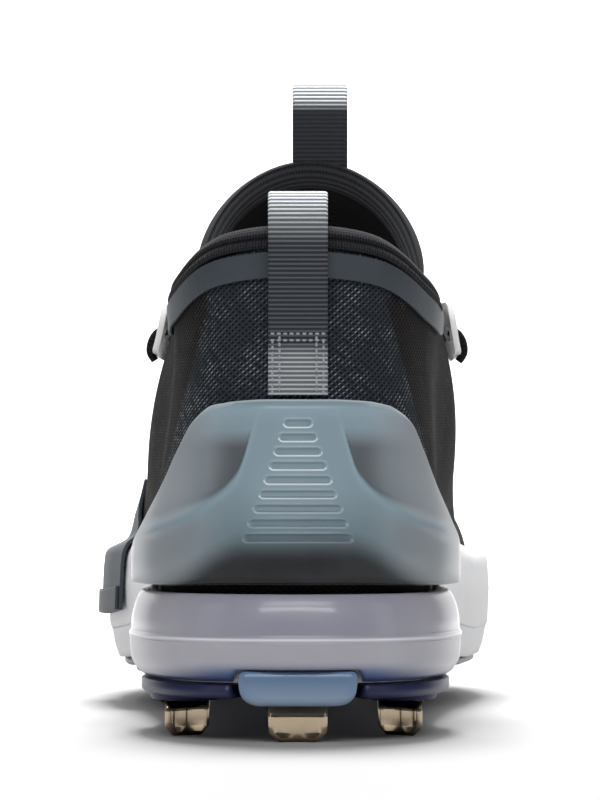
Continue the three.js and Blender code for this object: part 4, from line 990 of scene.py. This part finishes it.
# %% Collar band
def strip_over(ats, near, far, out_low, out_high, corner):
    """A closed outline of (distance, out) carried over the upper, narrower towards both ends of the band."""
    outline = rounded([(near, out_low), (near, out_high), (far, out_high), (far, out_low)], corner, 5)
    at = np.broadcast_to(ats[None], (len(outline), len(ats)))
    taper = 1 - BAND_TAPER * ramp(np.abs(at), 0.08, 0.18)
    return upper_out(at, below(at, near + (outline[:, :1] - near) * taper), outline[:, 1:])


band_at = np.linspace(-THROAT_TOP, THROAT_TOP, 241)
band = piece("collar_band_film", strip_over(band_at, 0.3, BAND_HEIGHT, FIT, FIT + BAND_THICKNESS, 0.35), film,
             "collar_band", ring_v=True, ends=True)

# %% Eyestay
def punched(points, holes, radius):
    """Moves points inside a hole out to its edge and says which cells stay: those not wholly inside."""
    inside = np.zeros(points.shape[:2], bool)
    for middle in holes:
        away = points - middle
        distance = np.linalg.norm(away, axis=-1, keepdims=True)
        near = distance[..., 0] < radius
        points = np.where(near[..., None], middle + away / np.maximum(distance, 1e-6) * radius, points)
        inside |= near
    return points, ~(inside[:-1, :-1] & inside[:-1, 1:] & inside[1:, :-1] & inside[1:, 1:])


def thickened(obj, thickness, edge):
    """Gives a sheet its thickness inwards, and a small rounded edge."""
    solid = obj.modifiers.new("thickness", "SOLIDIFY")
    solid.thickness, solid.offset = thickness / 1000, -1
    bevel = obj.modifiers.new("edge", "BEVEL")
    bevel.width, bevel.segments, bevel.limit_method, bevel.angle_limit = edge / 1000, 2, "ANGLE", math.radians(50)
    return obj


def faces_out(obj):
    """Turns a sheet so that its faces look away from the inside of the shoe."""
    mesh = obj.data
    normals, centres = np.zeros(len(mesh.polygons) * 3), np.zeros(len(mesh.polygons) * 3)
    mesh.polygons.foreach_get("normal", normals)
    mesh.polygons.foreach_get("center", centres)
    away = centres.reshape(-1, 3) - np.array([0.0, centres.reshape(-1, 3)[:, 1].mean(), 0.03])
    if np.sum(normals.reshape(-1, 3) * away) < 0:
        mesh.flip_normals()
    return obj


EYESTAY_OUT = FIT + EYESTAY_THICKNESS
stay_at = np.linspace(THROAT_TOP + 0.004, 1 - THROAT_TOP - 0.004, 521)[None]
stay_reach = np.linspace(0.3, EYESTAY_WIDTH, 27)[:, None]
stay_sheet = upper_out(stay_at, below(stay_at, stay_reach), EYESTAY_OUT)
both_sides = np.array(EYELETS + [1 - at for at in EYELETS])
holes = upper_out(both_sides, below(both_sides, EYELET_INSET), EYESTAY_OUT)
stay_sheet, stay_keep = punched(stay_sheet, holes, EYELET_BORE / 2)
eyestay = piece("eyestay_film", stay_sheet, film, "eyestay", keep=stay_keep)
thickened(faces_out(eyestay), EYESTAY_THICKNESS, 0.2)

# %% [markdown]
# White TPU wings carry the top pair of eyelets. Each is a sheet whose square outline is squeezed to a rounded
# one, x by sqrt(1 - k y^2) and y by sqrt(1 - k x^2), and which stands away from the shoe towards its top.

# %% Wings
def wing(medial):
    """Sheet of one wing, before its hole is punched."""
    x, y = np.linspace(-1, 1, 33)[None], np.linspace(-1, 1, 61)[:, None]
    across_share, down_share = x * np.sqrt(1 - 0.28 * y**2), y * np.sqrt(1 - 0.28 * x**2)
    at = np.mean(WING_STATIONS) + (WING_STATIONS[1] - WING_STATIONS[0]) / 2 * across_share
    at = 1 - at if medial else at
    drop = WING_DROP + WING_HEIGHT * (1 + down_share) / 2
    away = (EYESTAY_OUT + GAP + WING_THICKNESS + WING_FLARE * ((1 - down_share) / 2)**2
            + 0.2 * ((1 - across_share) / 2)**2)
    return upper_out(at, below(at, drop), away)


WING_HOLE_DROP = WING_DROP + WING_HEIGHT * 0.55
for side_name, medial in (("lateral", False), ("medial", True)):
    sheet = wing(medial)
    sheet, keep = punched(sheet, [sheet[33, 16]], EYELET_BORE / 2)
    made = piece(f"wing_{side_name}_tpu", sheet, white_tpu, f"eyelet_wing_{side_name}", keep=keep)
    thickened(faces_out(made), WING_THICKNESS, 0.35)

# %% [markdown]
# A slate film panel lies on the lateral side, goes over the midsole's rim and ends in a folded edge. Its line at
# each station is a smooth curve through seven points: three on the upper and four on the foam's side.

# %% Lateral panel
PANEL_LEVELS = [1, .88, .62, .4]


def panel_lines(stations, out):
    """Seven points on each station's line, moved out, less so near the top; rows run down to the folded edge."""
    rows = [upper_at_height(stations, rim_top(stations) + GAP + PANEL_TOP * (1 - k / 2.4), FIT + out * share)
            for k, share in enumerate((0.4, 0.75, 1))]
    reach = np.array([r for r, _ in SIDE_SECTION]), np.array([level for _, level in SIDE_SECTION])
    for level in PANEL_LEVELS:
        rows.append(side_point(stations, np.full(len(stations), level),
                               float(through(reach[1], reach[0], level)), FIT + out))
    return np.stack(rows)


def smooth_rows(rows, first, last, count):
    """Rows in between, each coordinate on a curve through the given rows, from the first to the last wanted."""
    knots = np.arange(len(rows), dtype=float)
    at = np.linspace(first, last, count)
    flat = rows.reshape(len(rows), -1)
    return np.stack([through(knots, flat[:, k], at) for k in range(flat.shape[1])], -1).reshape(count, -1, 3)


panel_at = np.linspace(*PANEL_STATIONS, 97)
panel_sheet = smooth_rows(panel_lines(panel_at, PANEL_THICKNESS * 0.55), 0, 6, 90)
panel = piece("lateral_panel_film", panel_sheet, film, "lateral_panel")
thickened(faces_out(panel), PANEL_THICKNESS * 0.5, 0.25)
fold_sheet = smooth_rows(panel_lines(panel_at[2:-2], PANEL_THICKNESS), 5.0, 5.97, 24)
fold_piece = piece("lateral_panel_fold_film", fold_sheet, film)
thickened(faces_out(fold_piece), 1.0, 0.3)

# %% [markdown]
# ## The knitted binding
# A knitted tape is folded over the collar's edge and sewn. It swells to a roll at the top and to a narrower
# knobbly ridge under it, where the stitches pull it in. The section is an arch over the wall, pushed in and
# out by bell curves, and the ridge's knobs come from a sine along the collar.

# %% Binding
binding_at = np.linspace(-THROAT_TOP, THROAT_TOP, 901)[None]
arch = np.linspace(0, np.pi, 46)[:, None]
rim_out, rim_in = upper_face(binding_at, 1.0), upper_inside(binding_at, 1.0)
half = np.linalg.norm(rim_out - rim_in, axis=-1) / 2 + BINDING_OVERHANG
sideways = unit(rim_out - rim_in)
upward = unit(upper_face(binding_at, 1.0) - upper_face(binding_at, 0.995))
around = np.cumsum(np.linalg.norm(np.diff(rim_out[0], axis=0, prepend=rim_out[0, :1]), axis=-1))[None]
rise = np.sin(arch) * (BINDING_HEIGHT - FIT)
knobs = 0.5 + 0.5 * np.sin(around * 2 * np.pi / 1.9)
swell = (0.55 * np.exp(-((rise - 1.3) / 0.6)**2) * (0.55 + 0.45 * knobs) - 0.75 * np.exp(-((rise - 2.5) / 0.45)**2)
         + 0.25 * np.exp(-((rise - 3.9) / 0.9)**2))
swell = swell * np.sign(np.cos(arch)) * np.abs(np.cos(arch))**0.3
spread_out = np.cos(arch) * half + swell
arch_grid = ((rim_out + rim_in) / 2)[0][None] + sideways * spread_out[..., None] + upward * (FIT + rise)[..., None]
# Painted shade: near black in the pinch between the roll and the ridge, at the binding's foot and on its inner side.
binding_shade = np.exp(-((rise - 2.5) / 0.35)**2) + (1 - ramp(rise, 0, 0.5)) + ramp(-np.cos(arch), 0.1, 0.6)
binding = piece("collar_binding_knit", arch_grid, binding_knit, "collar_binding", ring_v=True,
                ends=True, values={"painted_shade": np.broadcast_to(np.clip(binding_shade, 0, 0.9), arch_grid.shape[:2])})

# %% [markdown]
# ## The tongue
# The tongue is a soft pad between two knits, bent round the instep, with a rolled edge. Each section runs
# along an arch from edge to edge on the outside and back on the inside; its thickness falls to nothing along
# a rounded curve at the edges and the top, as a stitched pad's does, and swells a little between.

# %% Tongue
def tongue_surface(share, s, depth):
    """An ellipse about the instep's line: half width and reach less the depth, read at share of a half turn."""
    crown_y, crown_z = LENGTH * through(TONGUE[:, 0], TONGUE[:, 1], s), through(TONGUE[:, 0], TONGUE[:, 2], s)
    edge_y, edge_z = LENGTH * through(TONGUE[:, 0], TONGUE[:, 3], s), through(TONGUE[:, 0], TONGUE[:, 4], s)
    crown_z, edge_z = SEAT + COLLAR_RISE * crown_z, SEAT + COLLAR_RISE * edge_z
    width = TONGUE_WIDTH * through(TONGUE[:, 0], TONGUE[:, 5], s)
    reach = np.hypot(crown_y - edge_y, crown_z - edge_z)
    angle = (share - 0.5) * np.pi
    out = (reach - depth) * np.cos(angle) / reach
    return np.stack(np.broadcast_arrays(MEDIAL_SHIFT + (width - depth) * np.sin(angle),
                                        edge_y + (crown_y - edge_y) * out,
                                        edge_z + (crown_z - edge_z) * out), -1)


pad_share, pad_s = np.linspace(0, 1, 81)[:, None], (1 - (1 - np.linspace(0, 1, 201))**1.3)[None]
side_roll = np.sqrt(np.clip(1 - np.abs(2 * pad_share - 1)**7, 0.02, 1))
top_roll = np.sqrt(np.clip(1 - ramp(pad_s, 0.955, 1.0)**2, 0.03, 1))
from_side = np.minimum(pad_share, 1 - pad_share)
roll = np.maximum(ramp(pad_s, 0.935, 0.95), 1 - ramp(from_side, 0.035, 0.05))
fill = TONGUE_THICKNESS / 2 * side_roll * top_roll * (0.85 + 0.25 * roll)
middle = TONGUE_THICKNESS / 2 * (1 - 0.75 * ramp(pad_s, 0.9, 1.0))
tongue_grid = np.concatenate([tongue_surface(pad_share, pad_s, middle - fill),
                              tongue_surface(pad_share[::-1], pad_s, middle + fill[::-1])])
# Painted shade: the tongue's inner face goes near black away from its rolled edge.
painted_shade = np.concatenate([np.zeros_like(roll), (1 - roll)[::-1]])
tongue = piece("tongue_pad", tongue_grid, tongue_knit, "tongue", ring_v=True, ends=True,
               values={"painted_shade": painted_shade})

# %% [markdown]
# ## The pull loops
# Flat woven tape is folded over and sewn down: at the back of the heel it runs up from the counter, over the
# collar and down inside, and on the tongue it stands up from the front. A thin rounded section is carried
# along a smooth path; ribs stand across it 1.2 mm apart.

# %% Loops
def tape_section(width, thickness):
    """Flat section with rounded ends: more points across than the rounding needs, for the ribs."""
    half, edge = width / 2, thickness / 2
    x = np.linspace(-half + edge, half - edge, 15)
    turn = np.linspace(-np.pi / 2, np.pi / 2, 6)[1:-1]
    right = np.stack([half - edge + edge * np.cos(turn), edge * np.sin(turn)], -1)
    return np.concatenate([np.stack([x, np.full(15, -edge)], -1), right, np.stack([x[::-1], np.full(15, edge)], -1),
                           -right])


def webbing(name, x, points, material, node):
    """Tape on a path in y and z at x; its faces wave in and out with the ribs."""
    path = line_through([(x, y, z) for y, z in points], 560)
    section = tape_section(WEBBING_WIDTH, WEBBING_THICKNESS)
    grid = carried(path, np.broadcast_to([1.0, 0, 0], path.shape), section)
    gone = np.cumsum(np.linalg.norm(np.diff(path, axis=0, prepend=path[:1]), axis=-1))
    wave = 0.08 * np.sin(gone * 2 * np.pi / RIB_PITCH)
    centre = path[None] + (grid - path[None]) * np.array([1.0, 0, 0])
    away = grid - centre
    grid = grid + away / np.maximum(np.linalg.norm(away, axis=-1, keepdims=True), 0.2) * wave[None, :, None]
    return piece(name, grid, material, node, ring_v=True, ends=True, values={"along_mm": gone[None]})


half_tape = WEBBING_THICKNESS / 2
heel_foot = upper_at_height(0.0, SEAT + COUNTER_RISE + 1, FIT + half_tape)
heel_box = upper_at_height(0.0, SEAT + COUNTER_RISE + 15, FIT + half_tape)
line_y, in_y = upper_face(0.0, 1.0)[1], upper_inside(0.0, 1.0)[1]
inner_end = upper_at_height(0.0, TOP_LINE - 11, -wall_thickness(0.0, 1.0) - 3 * FIT - half_tape)
heel_top = TOP_LINE + HEEL_LOOP_RISE - half_tape
heel_path = [(heel_foot[1], heel_foot[2]), (heel_box[1], heel_box[2]), (line_y - 3.6, TOP_LINE - 4),
             (line_y - 3.4, heel_top - 6), ((line_y + in_y) / 2 - 1, heel_top), (in_y + 2.6, heel_top - 6),
             (in_y + 3.2, TOP_LINE), (inner_end[1], inner_end[2])]
heel_loop = webbing("heel_pull_tape", 0.0, heel_path, heel_tape, "heel_pull_loop")

tongue_foot, tongue_mid, tongue_head = [tongue_surface(0.5, s, -half_tape - FIT) for s in (.8, .9, 1.0)]
loop_top = SEAT + COLLAR_RISE * TONGUE[-1, 2] + TONGUE_LOOP_RISE - half_tape
tongue_path = [tongue_foot[1:], tongue_mid[1:], tongue_head[1:], (tongue_head[1] - .5, loop_top - 6),
               (tongue_head[1] + 3.6, loop_top), (tongue_head[1] + 7.6, loop_top - 6),
               (tongue_head[1] + 6.8, tongue_head[2]), (tongue_mid[1] + 3.6, tongue_mid[2]),
               (tongue_foot[1] + 2, tongue_foot[2] + 2)]
tongue_loop = webbing("tongue_pull_tape", MEDIAL_SHIFT + 2.6, tongue_path, tongue_tape, "tongue_pull_loop")

# %% [markdown]
# The loop's foot is sewn down with a box of short stitches in pale thread: two lines of them down each side and
# two across its top. One stitch is a small pod: r sqrt(1 - t^4) round an axis, with t from one end to the other.

# %% Stitches
def stitches(name, spots, way, out, length, width, material):
    """Pods of thread at spots, lying along way and standing out along out."""
    t = np.linspace(-1, 1, 7)[:, None, None]
    turn = np.linspace(0, 2 * np.pi, 6, endpoint=False)[None, :, None]
    way, out = np.asarray(way, float), np.asarray(out, float)
    fat = width / 2 * np.sqrt(np.maximum(1 - t**4, 0.02))
    pod = way * t * length / 2 + np.cross(way, out) * fat * np.cos(turn) + out * fat * 0.6 * np.sin(turn)
    return piece(name, np.asarray(spots)[:, None, None] + pod[None], material, ring_u=True,
                 ends=True)


def on_tape(x, z):
    """Points just over the heel tape's outer face."""
    face = upper_at_height(np.zeros_like(z), z, FIT + WEBBING_THICKNESS + 0.1)
    return np.stack([x, face[..., 1], z], -1)


box_z = np.arange(SEAT + COUNTER_RISE + 1.8, 98.2, 1.55)
box_x = np.array([-6.2, -4.5, 4.5, 6.2])
down_x, down_z = [a.ravel() for a in np.meshgrid(box_x, box_z)]
down_z = down_z + 0.75 * (np.abs(down_x) < 5)
stitches("box_stitches_down", on_tape(down_x, down_z), (0, 0.05, 1), (0, -1, 0.05), 1.05, 0.55, pale_thread)
across_x, across_z = [a.ravel() for a in np.meshgrid(np.arange(-6.2, 6.3, 1.55), [97.6, 99.2])]
stitches("box_stitches_across", on_tape(across_x, across_z), (1, 0, 0), (0, -1, 0.05), 1.05, 0.55, pale_thread)

# %% [markdown]
# ## The lace
# A flat braid crosses from each eyelet to the next one up on the other side. Every run comes up through its
# eyelet, lies on the eyestay, bridges the tongue and goes down through the other eyelet.

# %% Lace
def tongue_height(y):
    """Height of the tongue's crown at a place along, by halving."""
    low, high = 0.0, 1.0
    for _ in range(18):
        middle = (low + high) / 2
        low, high = (middle, high) if tongue_surface(0.5, middle, 0.0)[1] > y else (low, middle)
    return tongue_surface(0.5, low, 0.0)[2]


LACE_OUT = EYESTAY_OUT + LACE_LIFT + LACE_THICKNESS / 2


def crossing(start, end):
    """Path through both holes, over the throat's two edges and the tongue's crown, with a flat section."""
    in_hole = [upper_out(at, below(at, EYELET_INSET), -0.6) for at in (start, end)]
    on_hole = [upper_out(at, below(at, EYELET_INSET - 1.2), LACE_OUT - 0.5) for at in (start, end)]
    share = 0.14 * (1 - end - start)
    edges = [upper_out(start + share, 1.0, LACE_OUT), upper_out(end + 0.14 * (1 - start - end), 1.0, LACE_OUT)]
    crown = (edges[0] + edges[1]) / 2
    crown[2] = max(crown[2], tongue_height(crown[1]) + LACE_LIFT + LACE_THICKNESS)
    path = line_through([in_hole[0], on_hole[0], edges[0], crown, edges[1], on_hole[1], in_hole[1]], 121)
    way = unit(np.gradient(path, axis=0))
    blend = np.linspace(0, 1, 121)[:, None]
    lift = unit(upper_normal(start, 1.0) * (1 - blend) + upper_normal(end, 1.0) * blend)
    side = unit(np.cross(way, lift))
    pull = 1 - 0.3 * np.exp(-(np.minimum(blend, 1 - blend) / 0.05)**2)
    return carried(path, side, tape_section(LACE_WIDTH, LACE_THICKNESS * 0.8)) * pull[None] + path[None] * (1 - pull[None])


pairs = [(EYELETS[-1], 1 - EYELETS[-1])]
for upper_at, lower_at in zip(EYELETS[:-1], EYELETS[1:]):
    pairs += [(upper_at, 1 - lower_at), (lower_at, 1 - upper_at)]
runs = []
for start, end in pairs:
    runs.append(crossing(start, end))
lace = piece("lace_braid", np.stack(runs), lace_braid, "lace", ring_v=True, ends=True)


def wing_run(medial):
    """The top run comes out through the wing's hole, over its outside and back in under its lower end."""
    at = np.mean(WING_STATIONS)
    at = 1 - at if medial else at
    outside = EYESTAY_OUT + GAP + WING_THICKNESS
    way = [(-0.8, -0.8), (0.4, 0.9), (2.4, 1.6), (4.8, 1.5), (6.6, 0.8), (8.0, -0.8)]  # below the hole, outwards
    points = [upper_out(at, below(at, WING_HOLE_DROP + low), outside + out) for low, out in way]
    path = line_through(points, 61)
    along_shoe = upper_face(at + 0.01, 0.9) - upper_face(at - 0.01, 0.9)
    return carried(path, np.broadcast_to(along_shoe, path.shape), tape_section(LACE_WIDTH * 0.7, LACE_THICKNESS))


wing_laces = piece("lace_wing_runs", np.stack([wing_run(False), wing_run(True)]), lace_braid,
                   ring_v=True, ends=True)

# %% [markdown]
# ## Floor, card and lights
# The shoe stands on white paper that sweeps up behind the toe. The key light hangs over the instep, so that its
# shadow falls just behind the heel. Two soft lights behind the camera light the heel, and a black card there
# gives the steel something dark to mirror. Side lights draw the edges and one light keeps the backdrop white.

# %% Floor and light
def stage_piece(name, grid, material):
    """A plain surface of the studio, not attached to the shoe."""
    mesh = bpy.data.meshes.new(name)
    faces = grid_faces(grid.shape[0], grid.shape[1], False, False)
    mesh.from_pydata((grid.reshape(-1, 3) / 1000).tolist(), [], faces.tolist())
    mesh.shade_smooth()
    mesh.materials.append(material)
    obj = bpy.data.objects.new(name, mesh)
    bpy.context.scene.collection.objects.link(obj)
    return obj


def sweep_between(name, profile, material):
    """A sheet 5.2 m wide whose profile runs through points of y and z."""
    wide = np.linspace(-2600, 2600, 3)
    return stage_piece(name, np.stack([np.stack([wide, np.full(3, y), np.full(3, z)], -1) for y, z in profile]),
                       material)


floor_paper = new_material("pale_paper", "#a6a6a6", 0.8)
wall_paper = new_material("white_paper", "#f2f2f2", 0.8)
sweep_between("floor_paper", [(-2600, 0), (-800, 0), (650, 0)], floor_paper)
rise_up = line_through([(2700, 0), (3050, 40), (3300, 180), (3450, 450), (3500, 900)], 40)
sweep_between("wall_paper", [(650, 0), (1600, 0)] + rise_up.tolist() + [(3500, 4200)], wall_paper)

black_card = new_material("black_card", "#0a0a0a", 0.9)
card_x, card_z = np.meshgrid([-350.0, 350.0], [0.0, 230.0])
stage_piece("card_behind_camera", np.stack([card_x, np.full((2, 2), -1600.0), card_z], -1), black_card)

world = bpy.data.worlds.new("studio")
world.use_nodes = True
world.node_tree.nodes["Background"].inputs["Color"].default_value = paint("#ffffff")
world.node_tree.nodes["Background"].inputs["Strength"].default_value = 0.1
bpy.context.scene.world = world


def softbox(name, place, target, width, height, watts):
    """A rectangular area light that looks at a target; millimetres and watts."""
    data = bpy.data.lights.new(name, "AREA")
    data.shape, data.size, data.size_y, data.energy = "RECTANGLE", width / 1000, height / 1000, watts
    light = bpy.data.objects.new(name, data)
    bpy.context.scene.collection.objects.link(light)
    look(light, place, target)


softbox("key", (0, 300, 1350), (0, -60, 30), 520, 420, 36)
softbox("left", (-900, -600, 350), (0, -60, 60), 300, 900, 0.9)
softbox("right", (900, -600, 350), (0, -60, 60), 300, 900, 0.9)
softbox("fill", (0, -950, 950), (0, -60, 60), 900, 340, 4.5)
softbox("strip", (0, -1000, 600), (0, -140, 34), 900, 110, 3.2)
softbox("backdrop", (0, 1200, 2200), (0, 3400, 300), 2400, 600, 165)
bpy.context.scene.view_settings.view_transform = "Standard"
print("lights:", 6)
